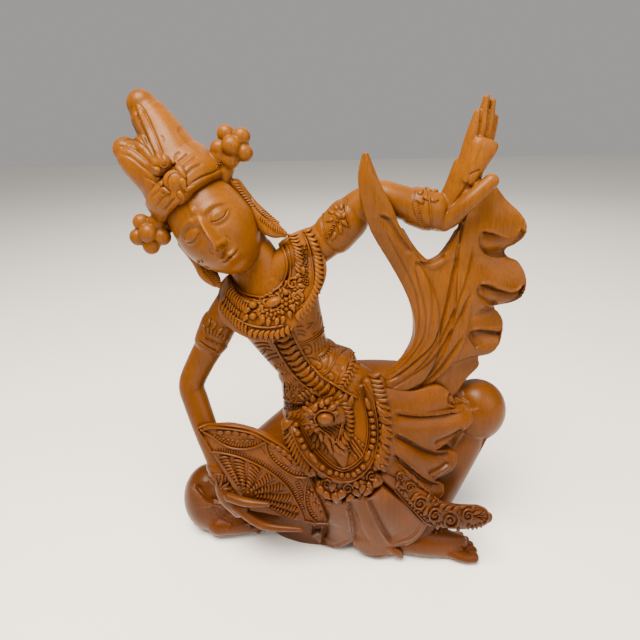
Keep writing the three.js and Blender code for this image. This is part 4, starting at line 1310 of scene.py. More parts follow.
def addSkirt(bm):
    def flare(lift):
        def rise(u, v):
            arch = np.sin(np.pi * (0.15 + 0.8 * v)) * (0.4 + 0.6 * u)
            return lift * arch + 1.1 * np.exp(-(((1 - v) / 0.08) ** 2)) - 2

        return rise

    for upper, lower, lift, bulge in skirt["thrown"]:
        addSheet(
            bm, [seen(*spot) for spot in upper], [seen(*spot) for spot in lower], 60, 40, 9,
            rise=flare(lift), slip=lambda u, v, bulge=bulge: bulge * u**4 * np.sin(np.pi * v),
        )
    seams = []
    for top, (x, y) in zip(skirt["waist"], skirt["hem"]):
        bottom = [x, y, -1]
        seams.append([top, [(a + b) / 2 for a, b in zip(top, bottom)], bottom])
    for left, right, lift in zip(seams, seams[1:], skirt["bulge"]):
        addSheet(
            bm, left, right, 50, 40, 12,
            rise=lambda u, v, lift=lift: lift * np.sin(np.pi * v) * u**1.7 - 2,
        )
    for left, right, lift, bulge in skirt["falling"]:
        addSheet(
            bm, [seen(*spot) for spot in left], [seen(*spot) for spot in right], 50, 36, 8,
            rise=lambda u, v, lift=lift: lift * np.sin(np.pi * v) * (0.3 + 0.7 * u) - 2.5,
            slip=lambda u, v, bulge=bulge: bulge * u**4 * np.sin(np.pi * v),
        )
    addLimb(bm, [[*seen(*spot), *size] for spot, size in skirt["roll"]], sides=28, step=0.8)


skirtTurns = [
    # thrown pleats: each lies over the next one down
    (3.8, 9, 1, thighLine((0, 256), (90, 280), (200, 292), (320, 290), (430, 276), (500, 250), (562, 212))),
    (
        2.2, 5, -1,
        thighLine((575, 15), (490, 70), (448, 108), (430, 150), (438, 195), (480, 214), (520, 198)),
    ),
    (
        3.8, 9, 1,
        thighLine(
            (0, 440), (60, 465), (130, 500), (200, 540), (270, 570), (340, 592), (400, 597), (462, 578),
        ),
    ),
    (2.4, 5, -1, thighLine((332, 548), (372, 532), (450, 497), (520, 462), (575, 420))),
    (
        3.8, 9, 1,
        thighLine(
            (0, 610), (60, 665), (120, 710), (180, 760), (230, 800), (280, 830), (330, 852), (375, 846),
        ),
    ),
    (2.2, 5, -1, thighLine((282, 800), (350, 770), (410, 736), (458, 694))),
    # hem: the folds between the lobes
    (3.0, 8, -1, hemLine((475, 372), (520, 342), (556, 338), (574, 368), (560, 420), (545, 465))),
    (2.4, 9, -1, hemLine((590, 250), (575, 310), (568, 360), (560, 420))),
    (2.4, 8, -1, [(346, 501), (351, 516), (354, 530), (353, 541)]),
    (2.6, 9, -1, [(366, 499), (373, 514), (381, 530), (391, 545)]),
    (1.6, 4, 1, [(392, 547), (400, 545.5), (406, 545)]),
]
skirtGrooves = [
    (1.0, 0.6, thighLine((20, 700), (100, 770), (170, 830))),
    # thin rolled hems with a groove inside them
    (0.8, -0.5, [(312, 537), (315, 544), (320, 547.5), (328, 548.6), (338, 546.6), (350, 540.6)]),
    (0.6, 0.4, [(314, 536), (318, 542.4), (322, 545), (328, 545.8), (338, 543.6), (348, 538.6)]),
    (0.8, -0.5, [(354, 546), (357, 553), (363, 557), (372, 558.8), (384, 558), (396, 557)]),
    (0.6, 0.4, [(357, 547), (360, 552), (365, 554.6), (372, 555.8), (384, 555), (393, 553.6)]),
    (0.8, -0.5, [(394, 544.4), (402, 541.6), (411, 538.6), (417.6, 533), (421, 525)]),
    (0.6, 0.4, [(395, 541.6), (402, 539), (409, 536.2), (414.6, 531.4), (418, 525)]),
    (2.2, -0.9, [(347.6, 508), (350.5, 520), (351.5, 532)]),
    (1.8, 0.5, [(354, 510), (362, 530), (371, 545)]),
]

skirtPiece = oneBlock("skirt", addSkirt, skirt["voxel"], softness=3)
overlap(skirtPiece, skirtTurns, lip=0.35)
carve(skirtPiece, skirtGrooves)
keepTree(skirtPiece)


apron = {
    "voxel": 0.6,
    "edgeA": [[-34, -16, 126], [-26, -26, 104], [-14, -34, 87], [0, -37, 79]],
    "edgeB": [[28, -16, 154], [33, -26, 126], [32, -33, 104], [22, -37, 85]],
    "belt": [[-18.5, 1, 156, 25.5, 19.5], [-13, 2, 147.5, 32, 23.5]],
    "hip": [[-8, -6, 158, 16, 14], [4, -8, 149, 17.2, 15], [14, -8, 140, 19.5, 15]],
    "medallion": ((-7, -34, 134), (14, 5, 14)),
    "lappet": [[-3, -36, 124, 9, 4], [2, -38, 110, 7, 4], [5, -39, 98, 3, 3]],
}


def addApron(bm):
    addLimb(bm, apron["belt"], sides=72, step=1.0)
    addLimb(bm, apron["hip"], sides=56, step=1.0)
    addSheet(bm, apron["edgeA"], apron["edgeB"], 70, 60, 10, rise=lambda u, v: 3.5 * np.sin(np.pi * v) - 1)
    addBall(bm, *apron["medallion"], sides=32, rings=20)
    addLimb(bm, apron["lappet"], sides=24)


apronPiece = oneBlock("apron", addApron, apron["voxel"], softness=3)

border = {
    "voxel": 0.55,
    "bands": [  # photograph px and depth, half width, half depth: the beaded loop and the leaves beside it
        (
            [
                (367, 382, -22), (373, 405, -27), (375, 433, -32), (371, 457, -37), (358, 474, -41),
                (342, 479, -42), (326, 473, -41), (308, 456, -37), (297, 436, -30), (291, 424, -23),
            ],
            3.4, 3.0,
        ),
        (
            [(378.5, 378, -19), (382, 400, -25), (384.5, 425, -31), (383.5, 446, -35), (381, 466, -39)],
            4.0, 3.0,
        ),
        ([(287, 422, -17), (290, 440, -25), (299, 458, -32), (312, 472, -37)], 4.4, 3.2),
    ],
    "lobes": [  # the carved lower edge
        ((332, 489, -38), (10, 4, 11)), ((345, 486, -39), (11, 4, 10)), ((362, 486, -39), (10, 4, 9)),
        ((374, 480, -38.5), (7, 4, 7)),
    ],
}


def addBorder(bm):
    for line, wide, deep in border["bands"]:
        addLimb(bm, [[*seen(*spot), wide, deep] for spot in line], sides=24, step=1.0)
    for spot, radii in border["lobes"]:
        addBall(bm, seen(*spot), radii, sides=32, rings=20)


oneBlock("border", addBorder, border["voxel"], softness=3)


apronRelief = {
    "inner": apronLine(
        (905, 190), (950, 260), (992, 380), (1018, 520), (1018, 680), (982, 845), (905, 955), (790, 1022),
        (690, 1002), (570, 905), (455, 780), (385, 660), (335, 560),
    ),
    "innerTwin": apronLine(
        (925, 185), (972, 260), (1012, 380), (1038, 520), (1040, 690), (1000, 862), (922, 975),
        (790, 1046), (680, 1026), (556, 928), (440, 800), (366, 672), (315, 570),
    ),
    "outer": apronLine(
        (985, 150), (1040, 250), (1085, 350), (1122, 560), (1122, 750), (1080, 925), (1000, 1052),
        (872, 1150), (760, 1165), (640, 1128), (520, 1056), (400, 950), (285, 780), (225, 590),
    ),
    "beads": apronLine(
        (1060, 450), (1070, 520), (1080, 590), (1085, 655), (1080, 730), (1065, 795), (975, 1010),
        (925, 1055), (880, 1090), (815, 1105), (750, 1105), (690, 1090), (620, 1070), (545, 1020),
        (355, 800), (325, 735), (290, 665), (268, 580),
    ),
    "feathers": apronLine(
        (700, 265), (770, 330), (800, 400), (820, 480), (825, 560), (812, 640), (785, 715), (745, 800),
    ),
    "edgeScrolls": [  # x, y, radius, turns, start, hand
        (600, 1185, 5.4, 1.5, 180, -1), (812, 1228, 5.6, 1.5, 0, 1), (1066, 1105, 6.0, 1.6, 200, -1),
    ],
    # from here on: x, y, heading, size
    "longBeads": [(1025, 895, 63, 1), (450, 922, -52, 1), (1030, 350, -72, 1)],
    "edgeDrops": [
        (540, 1250, -70, 6), (600, 1300, -50, 6), (655, 1200, -95, 7), (690, 1320, -80, 8),
        (745, 1290, -110, 7), (620, 1370, -40, 5), (830, 1320, -120, 6), (790, 1380, -140, 5),
        (900, 1190, -60, 5), (910, 1270, -50, 6), (960, 1230, -100, 6), (960, 1320, -80, 6),
        (1010, 1260, -130, 6), (1040, 1200, -60, 5), (1100, 1170, -110, 5), (955, 1165, -20, 4),
        (1130, 980, -70, 6), (1180, 1020, -60, 5), (1110, 1010, -110, 5), (1150, 920, -40, 6),
        (500, 1130, -80, 6), (455, 1060, -70, 5), (520, 1190, -100, 5),
    ],
    "edgeBeads": [
        (985, 1170, 0, 2.2), (930, 1215, 0, 2.0), (690, 1245, 0, 2.0), (1165, 965, 0, 2.6),
        (1130, 1060, 0, 2.2),
    ],
    "knobs": [  # round the medallion
        (480, 385, 70, 6.6), (545, 352, 85, 6), (430, 430, 140, 6), (405, 350, 120, 6),
        (452, 290, 100, 6), (520, 290, 80, 5.4), (600, 330, 60, 6), (655, 385, 40, 6), (395, 455, 190, 5),
        (430, 540, 200, 5), (490, 610, -110, 5), (455, 575, -130, 5), (372, 400, 150, 5),
        (640, 300, 50, 5), (690, 440, 20, 5), (700, 350, 45, 5), (570, 270, 80, 5),
    ],
    "knobBeads": [
        (415, 420, 0, 2.4), (450, 345, 0, 2.4), (498, 322, 0, 2.2), (575, 395, 0, 1.8),
        (620, 402, 0, 1.8), (660, 440, 0, 1.8), (470, 455, 0, 1.8), (488, 560, 0, 2.0),
    ],
    "lappetLeaves": [
        (435, 640, -120, 7), (470, 700, -110, 7), (540, 690, -85, 6.5), (500, 770, -100, 6.5),
        (560, 775, -95, 6.5), (620, 775, -80, 6.5), (660, 730, -75, 5.5), (640, 830, -75, 5.5),
        (590, 830, -95, 5), (700, 820, -60, 6.5), (745, 850, -45, 6), (720, 760, -60, 6),
        (400, 590, -140, 6), (380, 560, 200, 5), (450, 800, -120, 5),
    ],
}
onApron = ["border", "apron", "torso", "skirt"]
bm = bmesh.new()
for name, width in (("inner", 1.0), ("innerTwin", 0.8), ("outer", 1.1)):
    cord(bm, apronRelief[name], width, 1.5, onApron, lift=0.3)
for x, y in apronRelief["beads"]:
    place(bm, bead, x, y, 0, (3.3, 3.1, 4.8), onApron, lift=0.7)
scatter(bm, bead, apronLine, apronRelief["longBeads"], (7.0, 3.0, 4.6), onApron, lift=0.6)
# leaves along the outside of the loop
row(
    bm, crescent, apronLine((1090, 40), (1115, 140), (1145, 250), (1170, 330)), 5.2, (8.0, 8.4, 9.0),
    onApron, lean=70, lift=1.0,
)
rightChain = apronLine((1160, 340), (1196, 470), (1214, 600), (1206, 740), (1190, 860), (1172, 960))
for shape, size, lean, lift, offset in (
    (crescent, (9.0, 12.0, 9.0), 46, 0.8, 0.0),
    (crescent, (5.6, 5.4, 12.0), 46, 1.0, 0.6),
    (drop, (3.0, 4.0, 6.0), 10, 1.0, -5.0),
):
    row(bm, shape, rightChain, 6.8, size, onApron, lean=lean, lift=lift, offset=offset)
row(
    bm, leaf, apronLine((185, 560), (205, 680), (250, 800), (330, 930), (410, 1030)), 4.4,
    (8.4, 6.8, 7.4), onApron, lean=-58, lift=0.8,
)
# spirals and lobes of the apron's lower edge
for x, y, radius, turns, start, hand in apronRelief["edgeScrolls"]:
    px, py = apronLine((x, y))[0]
    scroll(
        bm, px, py, radius, onApron, turns=turns, start=start, hand=hand, width=1.3, height=2.2, lift=0.6,
    )
scatter(bm, drop, apronLine, apronRelief["edgeDrops"], (1, 1.6, 1.8), onApron, lift=0.9)
scatter(bm, bead, apronLine, apronRelief["edgeBeads"], (1, 1, 1.4), onApron, lift=0.5)

# medallion with its rim, knobs round it, a stippled lappet, leaves below and a chain of feathers
midX, midY = apronLine((578, 495))[0]
place(bm, bead, midX, midY, 4, (8.4, 6.4, 6.8), onApron, lift=1.6)
angles = [math.radians(degrees) for degrees in range(-30, 215, 15)]
ring = [(midX + 10.2 * math.cos(a), midY - 8.0 * math.sin(a)) for a in angles]
cord(bm, ring, 1.0, 2.0, onApron, lift=1.4)
scatter(bm, drop, apronLine, apronRelief["knobs"], (0.8, 1.25, 1.5), onApron, lift=1.2)
scatter(bm, bead, apronLine, apronRelief["knobBeads"], (1, 1, 1.6), onApron, lift=1.4)
cord(bm, apronLine((510, 590), (600, 660), (690, 745), (725, 650), (745, 560)), 0.9, 1.6, onApron, lift=1.0)
for line in (
    apronLine((560, 600), (620, 640), (680, 700)),
    apronLine((600, 590), (655, 630), (695, 670)),
    apronLine((650, 585), (690, 610), (712, 640)),
    apronLine((695, 575), (725, 590)),
):
    row(bm, bead, line, 2.0, (0.9, 0.9, 1.8), onApron, lift=0.9)
scatter(bm, leaf, apronLine, apronRelief["lappetLeaves"], (1, 1, 1.1), onApron, lift=0.9)
row(
    bm, crescent, apronRelief["feathers"], 4.3, (6.6, 7.4, 8.6), onApron, lean=66, grow=(1.0, 0.95),
    lift=1.0,
)
# strap that passes under the loop
strap = apronLine((845, 745), (960, 905))
for shift, width in ((-5.4, 0.8), (-1.2, 1.3), (1.6, 1.3), (5.6, 0.8)):
    cord(bm, [(x + shift * 0.8, y - shift * 0.55) for x, y in strap], width, 1.5, onApron, lift=0.6)
for x, y, stepX, stepY in ((352.5, 435.0, 3.4, 3.3), (346.0, 447.0, 3.2, 3.0)):
    for i in range(4):
        place(bm, drop, x + stepX * i, y + stepY * i, -40, (2.6, 3.6, 4.0), onApron, lift=0.6)
ornament("apronCarving", bm)

# the darker belt behind the knot: rows of small curls
bm = bmesh.new()
dice = np.random.default_rng(11)
for y in np.arange(386, 412, 5.6):
    for x in np.arange(287.5 - (y - 384) * 0.05, 300 + (y - 384) * 0.1, 5.8):  # the belt widens as it falls
        scroll(
            bm, x + dice.uniform(-0.6, 0.6), y + dice.uniform(-0.6, 0.6), 2.8, onApron, turns=1.0,
            start=dice.uniform(0, 360), hand=dice.choice([-1, 1]), width=0.9, height=1.3, lift=0.1,
        )
row(bm, crescent, [(285, 414), (294, 415), (304, 418)], 4.2, (4.0, 4.6, 4.4), onApron, lean=76)
row(
    bm, leaf, [(300, 398), (312, 391), (324, 394), (336, 402)], 4.2, (5.0, 6.0, 6.6), onApron, lean=-70,
    lift=0.8,
)
ornament("beltCarving", bm)


bodice = {  # lines of the fitted top and of the leaf sash that crosses it
    "sashLeft": [
        (272, 337), (277, 348), (284, 360), (293.5, 373.5), (305.5, 385.5), (319.6, 395), (334, 403),
        (347, 410),
    ],
    "sashRight": [
        (291, 329), (297, 342), (304, 355), (313, 367), (323.4, 377), (334.5, 384), (346, 391),
        (357, 397),
    ],
    "sashMiddle": [
        (281.5, 334), (287, 346), (294, 357.5), (303, 370), (314, 381), (327, 389.5), (340, 397),
        (352, 403.5),
    ],
    "bands": [
        bodiceLine((350, 328), (392, 318), (430, 302), (480, 270), (512, 235), (536, 196)),
        bodiceLine((352, 338), (396, 328), (436, 312), (488, 280), (520, 244), (540, 210)),
        bodiceLine((508, 552), (548, 524), (578, 486), (602, 440), (616, 372)),
        bodiceLine((108, 428), (150, 412), (196, 396)),
        bodiceLine((118, 452), (160, 438), (212, 424)),
        bodiceLine((250, 600), (252, 660), (268, 716), (320, 732), (380, 738)),
    ],
    "engraved": [
        ((335, 240), (372, 238), (405, 252)),
        ((338, 264), (372, 264), (398, 278)),
        ((335, 216), (362, 206), (388, 210)),
        ((406, 196), (430, 186), (462, 182)),
        ((410, 224), (432, 206), (452, 174)),
        ((448, 268), (486, 238), (500, 180), (506, 130)),
        ((474, 200), (486, 150), (486, 110)),
        ((512, 226), (524, 186), (526, 136), (516, 90)),
        ((462, 318), (470, 356), (470, 398)),
        ((480, 306), (492, 346), (495, 386)),
        ((500, 292), (513, 336), (520, 374)),
        ((519, 276), (531, 318), (538, 356)),
        (
            (366, 356), (398, 336), (434, 346), (446, 380), (424, 410), (390, 402), (384, 376),
            (408, 364), (424, 380),
        ),
        (
            (398, 446), (424, 434), (462, 438), (500, 456), (512, 488), (494, 514), (466, 506),
            (466, 484), (484, 478),
        ),
        ((424, 462), (444, 486), (440, 512)),
        ((524, 520), (548, 490), (562, 448), (566, 410)),
        ((492, 428), (530, 404), (560, 372), (576, 336)),
        ((540, 548), (574, 530), (598, 552), (590, 588), (560, 592), (552, 568), (572, 558)),
        ((612, 600), (634, 560), (648, 510)),
        ((560, 330), (592, 350), (640, 344)),
        ((632, 420), (650, 392), (690, 360)),
        ((690, 420), (700, 464), (684, 520)),
        ((40, 330), (92, 322), (146, 330)),
        ((56, 356), (100, 346), (158, 352)),
        ((78, 392), (120, 372), (172, 376)),
        ((92, 410), (118, 384), (124, 352)),
    ],
    "leafRows": [  # shape, pitch, size, lean, lift, line: short leaves along the bands
        (crescent, 2.7, (2.9, 3.0, 3.2), 80, 0, bodiceLine((478, 442), (530, 422), (566, 386), (590, 342))),
        (crescent, 2.6, (2.2, 2.8, 3.0), 80, 0, bodiceLine((136, 446), (172, 434), (214, 420))),
        (crescent, 4.2, (3.6, 4.6, 3.8), 70, 0, bodiceLine((178, 494), (212, 476), (252, 470))),
        (crescent, 3.6, (3.2, 4.0, 3.6), 70, 0, bodiceLine((222, 548), (262, 524), (296, 520))),
        (crescent, 3.2, (3.0, 3.4, 3.4), 76, 0, bodiceLine((262, 616), (320, 580), (372, 590))),
        (crescent, 3.2, (3.0, 3.4, 3.4), 76, 0, bodiceLine((256, 664), (316, 632), (396, 648))),
        (bead, 5.4, (2.0, 2.0, 2.6), 0, 0, bodiceLine((272, 704), (330, 688), (400, 704))),
    ],
    "hip": bodiceLine((736, 384), (742, 440), (716, 520), (672, 596), (640, 646)),
}
onTorso = ["torso", "collar", "apron"]
engraved = [(0.6, 1.1, bodiceLine(*places)) for places in bodice["engraved"]]
for x, y, slant, height, count in ((612, 452, -8, 28, 7), (620, 492, -10, 30, 6)):  # hatching over the hip
    for i in range(count):
        top = (x + 7 * i, y + 5 * i)
        engraved.append((0.45, 0.8, bodiceLine(top, (top[0] + slant, top[1] + height))))
engraved += pits([(309, 322), (314, 328), (321, 320)], 2.6, 4.0, seed=8)
engraved += pits([(262, 372), (272, 384), (281, 396)], 2.4, 4.0, seed=9)
for piece in (torsoPiece, apronPiece):
    carve(piece, engraved)
    keepTree(piece)
bm = bmesh.new()
for name in ("sashLeft", "sashRight"):
    cord(bm, bodice[name], 1.2, 2.4, onTorso, lift=0.5)
# each leaf of the sash with its midrib
for size, lift in (((9.4, 11.0, 9.0), 0.8), ((6.2, 5.6, 11.5), 1.0)):
    row(bm, crescent, bodice["sashMiddle"], 6.8, size, onTorso, lean=82, lift=lift, grow=(1.0, 0.95))
for line in bodice["bands"]:
    cord(bm, line, 0.8, 1.4, onTorso, lift=0.1)
placeRows(bm, bodice["leafRows"], onTorso)
for lean, offset in ((52, 2.2), (-52, -2.2)):
    row(bm, crescent, bodice["hip"], 4.2, (4.0, 4.8, 4.4), onTorso, lean=lean, offset=offset, lift=0.2)
ornament("bodiceCarving", bm)


fan = {
    "voxel": 0.5,
    "inner": [[-75, -32, 72], [-71.5, -33.5, 70], [-68, -34.5, 66], [-66, -35, 61], [-65, -35.5, 54.5]],
    "outer": [[-101, -20, 118], [-72, -24, 122], [-43, -28.5, 111.5], [-19, -33.5, 84.5], [-6, -38, 42]],
}


def addFan(bm):
    addSheet(bm, fan["inner"], fan["outer"], 90, 70, 6)


fanPiece = oneBlock("fan", addFan, fan["voxel"], softness=2)


fanCords = {  # half width and line
    "rim": (
        1.2,
        fanLine(
            (380, 142), (450, 118), (560, 116), (700, 132), (820, 162), (920, 212), (1050, 292),
            (1150, 372), (1250, 482), (1302, 602), (1350, 702), (1388, 822), (1392, 880),
        ),
    ),
    "rimTwin": (
        0.8,
        fanLine(
            (420, 152), (470, 140), (560, 137), (695, 153), (810, 183), (905, 232), (1035, 312),
            (1132, 392), (1228, 496), (1280, 612), (1328, 712), (1364, 822), (1372, 866),
        ),
    ),
    "foot": (0.9, fanLine((1392, 882), (1300, 880), (1212, 866))),
    "side": (0.9, fanLine((378, 146), (430, 230), (486, 322))),
    "arc": (
        1.0,
        fanLine(
            (486, 322), (600, 336), (700, 362), (800, 402), (900, 454), (1000, 524), (1080, 602),
            (1140, 702), (1190, 802), (1212, 866),
        ),
    ),
    "lensOne": (1.0, fanLine((400, 150), (500, 212), (600, 276), (700, 300), (800, 292), (905, 246))),
    "lensTwo": (1.0, fanLine((905, 246), (922, 320), (965, 394), (1050, 470), (1135, 516), (1236, 524))),
    "lensThree": (1.0, fanLine((1236, 524), (1216, 620), (1216, 720), (1244, 810), (1300, 872))),
}
pivot = fanLine((745, 665))[0]
fanPanels = fanLine(  # outer ends of the radial lines
    (520, 345), (635, 362), (765, 405), (895, 470), (1000, 545), (1085, 630), (1150, 740), (1190, 820),
    (1130, 868),
)


def towards(a, b, t):
    return (a[0] + (b[0] - a[0]) * t, a[1] + (b[1] - a[1]) * t)


panelMiddles = [towards(a, b, 0.5) for a, b in zip(fanPanels, fanPanels[1:])]
folds = [(0.7, 0.9, [towards(pivot, end, t) for t in (0.2, 0.6, 0.98)]) for end in fanPanels]
hollows = [(3.2, 0.9, [towards(pivot, end, t) for t in (0.45, 0.7, 0.95)]) for end in panelMiddles]
carve(fanPiece, folds + hollows)
keepTree(fanPiece)
fanRows = [  # shape, pitch, size, lean, lift, line
    # band of short cuts between the feathers and the outer leaves
    (
        bead, 2.5, (2.6, 0.9, 1.8), 86, 0.1,
        fanLine(
            (520, 312), (620, 322), (715, 346), (812, 382), (915, 436), (1016, 506), (1100, 590),
            (1160, 690), (1205, 790),
        ),
    ),
    (bead, 2.3, (2.6, 0.9, 1.8), 86, 0.1, fanLine((1150, 560), (1180, 640), (1200, 720))),
    # the outer leaves: a row of scallops, and one of slanting beads
    (bead, 7.6, (4.4, 3.0, 3.2), 0, 0.1, fanLine((520, 178), (600, 172), (700, 180), (830, 214))),
    (
        drop, 2.9, (2.4, 3.0, 4.4), 62, 0.1,
        fanLine((500, 196), (590, 246), (690, 274), (780, 270), (880, 238)),
    ),
    (bead, 5.0, (2.2, 1.2, 2.2), 0, 0.1, fanLine((560, 222), (640, 234), (740, 240), (820, 232))),
    (bead, 7.6, (4.0, 3.0, 3.2), 0, 0.1, fanLine((935, 262), (1010, 300), (1110, 380), (1195, 462))),
    (
        drop, 2.9, (2.4, 3.0, 4.4), 62, 0.1,
        fanLine((948, 330), (985, 392), (1060, 450), (1130, 488), (1210, 500)),
    ),
    (bead, 6.4, (3.4, 2.6, 3.2), 0, 0.1, fanLine((1262, 590), (1300, 670), (1338, 760), (1358, 840))),
    (drop, 2.9, (2.4, 3.0, 4.4), 62, 0.1, fanLine((1236, 600), (1236, 700), (1262, 790), (1310, 850))),
]
fanTassel = [  # x, y, heading: carved leaves at the handle
    (500, 520, 120), (520, 560, 100), (545, 590, 60), (575, 600, 30), (610, 620, 0), (560, 560, 80),
    (600, 590, 50), (650, 640, -30), (640, 610, 10), (485, 555, 140),
]
onFan = ["fan"]
bm = bmesh.new()
for width, line in fanCords.values():
    cord(bm, line, width, 2.2, onFan, lift=0.4)
placeRows(bm, fanRows, onFan)
place(bm, bead, *fanLine((1070, 400))[0], -42, (7.0, 3.6, 2.8), onFan, lift=0.1)
for x, y in ((1268, 655), (1290, 735), (1245, 640)):
    place(bm, bead, *fanLine((x, y))[0], 0, (2.0, 2.0, 3.2), onFan, lift=0.1)
for x, y in ((470, 300), (440, 240), (880, 320), (1180, 560)):
    place(bm, leaf, *fanLine((x, y))[0], -60, (4.6, 4.4, 4.0), onFan, lift=0.1)
# feathers: curved barbs across each panel
for a, b, end in zip(fanPanels, fanPanels[1:], panelMiddles):
    span = math.dist(a, b)
    length = math.dist(pivot, end)
    heading = math.degrees(math.atan2(pivot[1] - end[1], end[0] - pivot[0]))
    for reach in np.arange(length * 0.96, length * 0.24, -3.3):
        x, y = towards(pivot, end, reach / length)
        half = 0.36 * span * min(1.0, reach / length + 0.12)
        place(bm, crescent, x, y, heading + 66, (half * 1.15, 4.4, 6.6), onFan, lift=0.5)
scroll(bm, pivot[0] - 2, pivot[1] - 3.5, 3.0, onFan, turns=1.2, start=60, width=0.8, height=1.5)
for x, y in fanLine((770, 640), (800, 620), (740, 610), (830, 655), (700, 600)):
    place(bm, bead, x, y, 0, (1.9, 1.7, 2.6), onFan, lift=0.1)
for x, y, heading in fanTassel:
    place(bm, leaf, *fanLine((x, y))[0], heading, (5.4, 5.0, 5.0), ["fan", "rightArm", "legs"], lift=0.4)
ornament("fanCarving", bm)


tail = {  # the carved end of the waist cloth
    "voxel": 0.55,
    "spine": [
        [34, -36, 88, 6, 4], [52, -37.5, 71, 8, 4], [68, -38, 55, 11, 4], [86, -38, 48, 12, 4],
        [101, -38, 47.4, 11.4, 4], [109, -38, 46.6, 8.8, 3.6], [113, -38, 46.4, 4.6, 2.6],
    ],
    "scrolls": [  # x, y of the enlargement, radius, hand, start
        (205, 1012, 7.4, 1, 30), (330, 1112, 7.6, 1, 30), (455, 1150, 9.4, -1, 100),
        (600, 1112, 6.4, 1, 60), (118, 880, 5.2, 1, 0), (45, 795, 4.4, 1, 60), (322, 1002, 3.4, -1, 90),
    ],
    "leaves": [  # x, y, heading, size
        (705, 1196, -70, 4), (672, 1208, -80, 4), (640, 1214, -90, 4), (606, 1206, -95, 4.5),
        (640, 1055, 60, 4.5), (690, 1150, -20, 5), (680, 1090, 20, 5), (430, 960, -40, 6),
        (490, 1000, -30, 6), (560, 1045, 20, 5), (100, 770, -50, 7), (150, 810, -50, 7),
        (205, 860, -45, 7), (255, 905, -40, 7), (300, 950, -40, 6), (400, 1030, 20, 5.5),
        (440, 1050, 30, 5.5), (500, 1060, 40, 6), (370, 1060, 60, 5), (270, 970, 60, 5),
        (160, 960, -130, 6), (250, 1080, -110, 6), (70, 850, -60, 5.5), (20, 850, -100, 5.5),
        (90, 940, -60, 5), (540, 1180, -60, 6), (520, 1230, -90, 5), (350, 1200, -90, 6),
        (390, 1190, -60, 5), (280, 1180, -40, 5.5), (420, 1230, -100, 5), (60, 880, -20, 5),
        (130, 1000, -60, 5),
    ],
}


def addTail(bm):
    addLimb(bm, tail["spine"], sides=40, step=1.0)


oneBlock("tail", addTail, tail["voxel"], softness=3)


onTail = ["tail", "skirt", "foot"]
bm = bmesh.new()
cord(bm, thighLine((0, 905), (60, 975), (150, 1065), (215, 1135), (245, 1165)), 1.0, 1.6, onTail, lift=0.3)
cord(bm, thighLine((0, 935), (50, 995), (140, 1090), (215, 1165)), 0.7, 1.3, onTail, lift=0.3)
for x, y, radius, hand, start in tail["scrolls"]:
    px, py = thighLine((x, y))[0]
    scroll(bm, px, py, radius, onTail, turns=1.7, start=start, hand=hand, width=1.25, height=2.2, lift=0.7)
scatter(bm, leaf, thighLine, tail["leaves"], (1, 1.1, 1.2), onTail, lift=0.6)
row(
    bm, bead, thighLine((20, 880), (80, 950), (140, 1030), (210, 1100), (280, 1160)), 4.4,
    (1.9, 1.8, 3.0), onTail, lift=0.4,
)
row(
    bm, drop, thighLine((230, 1245), (330, 1250), (420, 1235), (520, 1240)), 5.0, (2.6, 4.2, 3.0), onTail,
    lean=70, lift=0.1,
)
cord(
    bm, thighLine((600, 1036), (680, 1040), (738, 1066), (768, 1110), (760, 1150), (735, 1180)), 0.9, 1.5,
    onTail, lift=0.3,
)
for x, y, heading in ((655, 1100, 10), (650, 1130, -20), (700, 1120, 0), (725, 1095, 30), (728, 1145, -25)):
    place(bm, bead, *thighLine((x, y))[0], heading, (4.6, 0.9, 1.8), onTail, lift=0.2)
ornament("tailCarving", bm)

# Clefts between the toes
carve(
    footPiece,
    [
        (0.8, 0.8, thighLine((560, 1300), (600, 1345), (640, 1370))),
        (0.8, 0.8, thighLine((540, 1370), (590, 1415), (630, 1440))),
    ],
)
keepTree(footPiece)


def linear(hexColour):
    channels = [int(hexColour[i : i + 2], 16) / 255 for i in (1, 3, 5)]
    curved = [c / 12.92 if c <= 0.04045 else ((c + 0.055) / 1.055) ** 2.4 for c in channels]
    return (*curved, 1.0)


# Adds a node; inputs maps a socket's name or number to a value or to the socket that feeds it
def addNode(tree, kind, inputs=(), **settings):
    node = tree.nodes.new(kind)
    for name, value in settings.items():
        setattr(node, name, value)
    for name, value in dict(inputs).items():
        if isinstance(value, bpy.types.NodeSocket):
            tree.links.new(value, node.inputs[name])
        else:
            node.inputs[name].default_value = value
    return node


wood = {
    "upper": "#7a4606",  # top of the block: golden wood, made lighter by painted light from above
    "lower": "#502704",  # darker and redder towards the bottom: partly the wood's own tone, partly painted shade where less light falls
    "lowerEnd": 0.03,  # m above the table
    "upperEnd": 0.33,
    "lineTone": 0.76,  # how dark the grain lines are against the wood between them
    "lineWidth": 0.9,  # mm, from one grain line to the next
    "lineLength": 60.0,  # mm, along the trunk
    "poreTone": 0.62,
    "poreWidth": 0.22,  # mm
    "poreLength": 3.5,
    "patchTone": 0.74,
    "patch": 34.0,  # mm, slow change of tone
    "patchLight": 1.1,
    # the span of each noise over which its shade changes
    "lineSpan": (0.34, 0.62),
    "poreSpan": (0.60, 0.70),
    "patchSpan": (0.35, 0.65),
    "paintedShade": "#2a0e03",  # painted shade in the cuts and between the pieces
    # mm of recess that the painted shade fills, how open it is where the painted shade starts and is full,
    # and its strength
    "cuts": {"wide": (3.4, 0.92, 0.35, 0.8), "fine": (1.1, 0.93, 0.45, 0.9)},
    "roughness": 0.36,
    "ior": 1.45,
    "specular": 0.15,  # the oil dulls the varnish
    "coat": 0.03,
    "coatRoughness": 0.25,
    "bump": 0.10,
    "bumpDepth": 0.2,  # mm
}
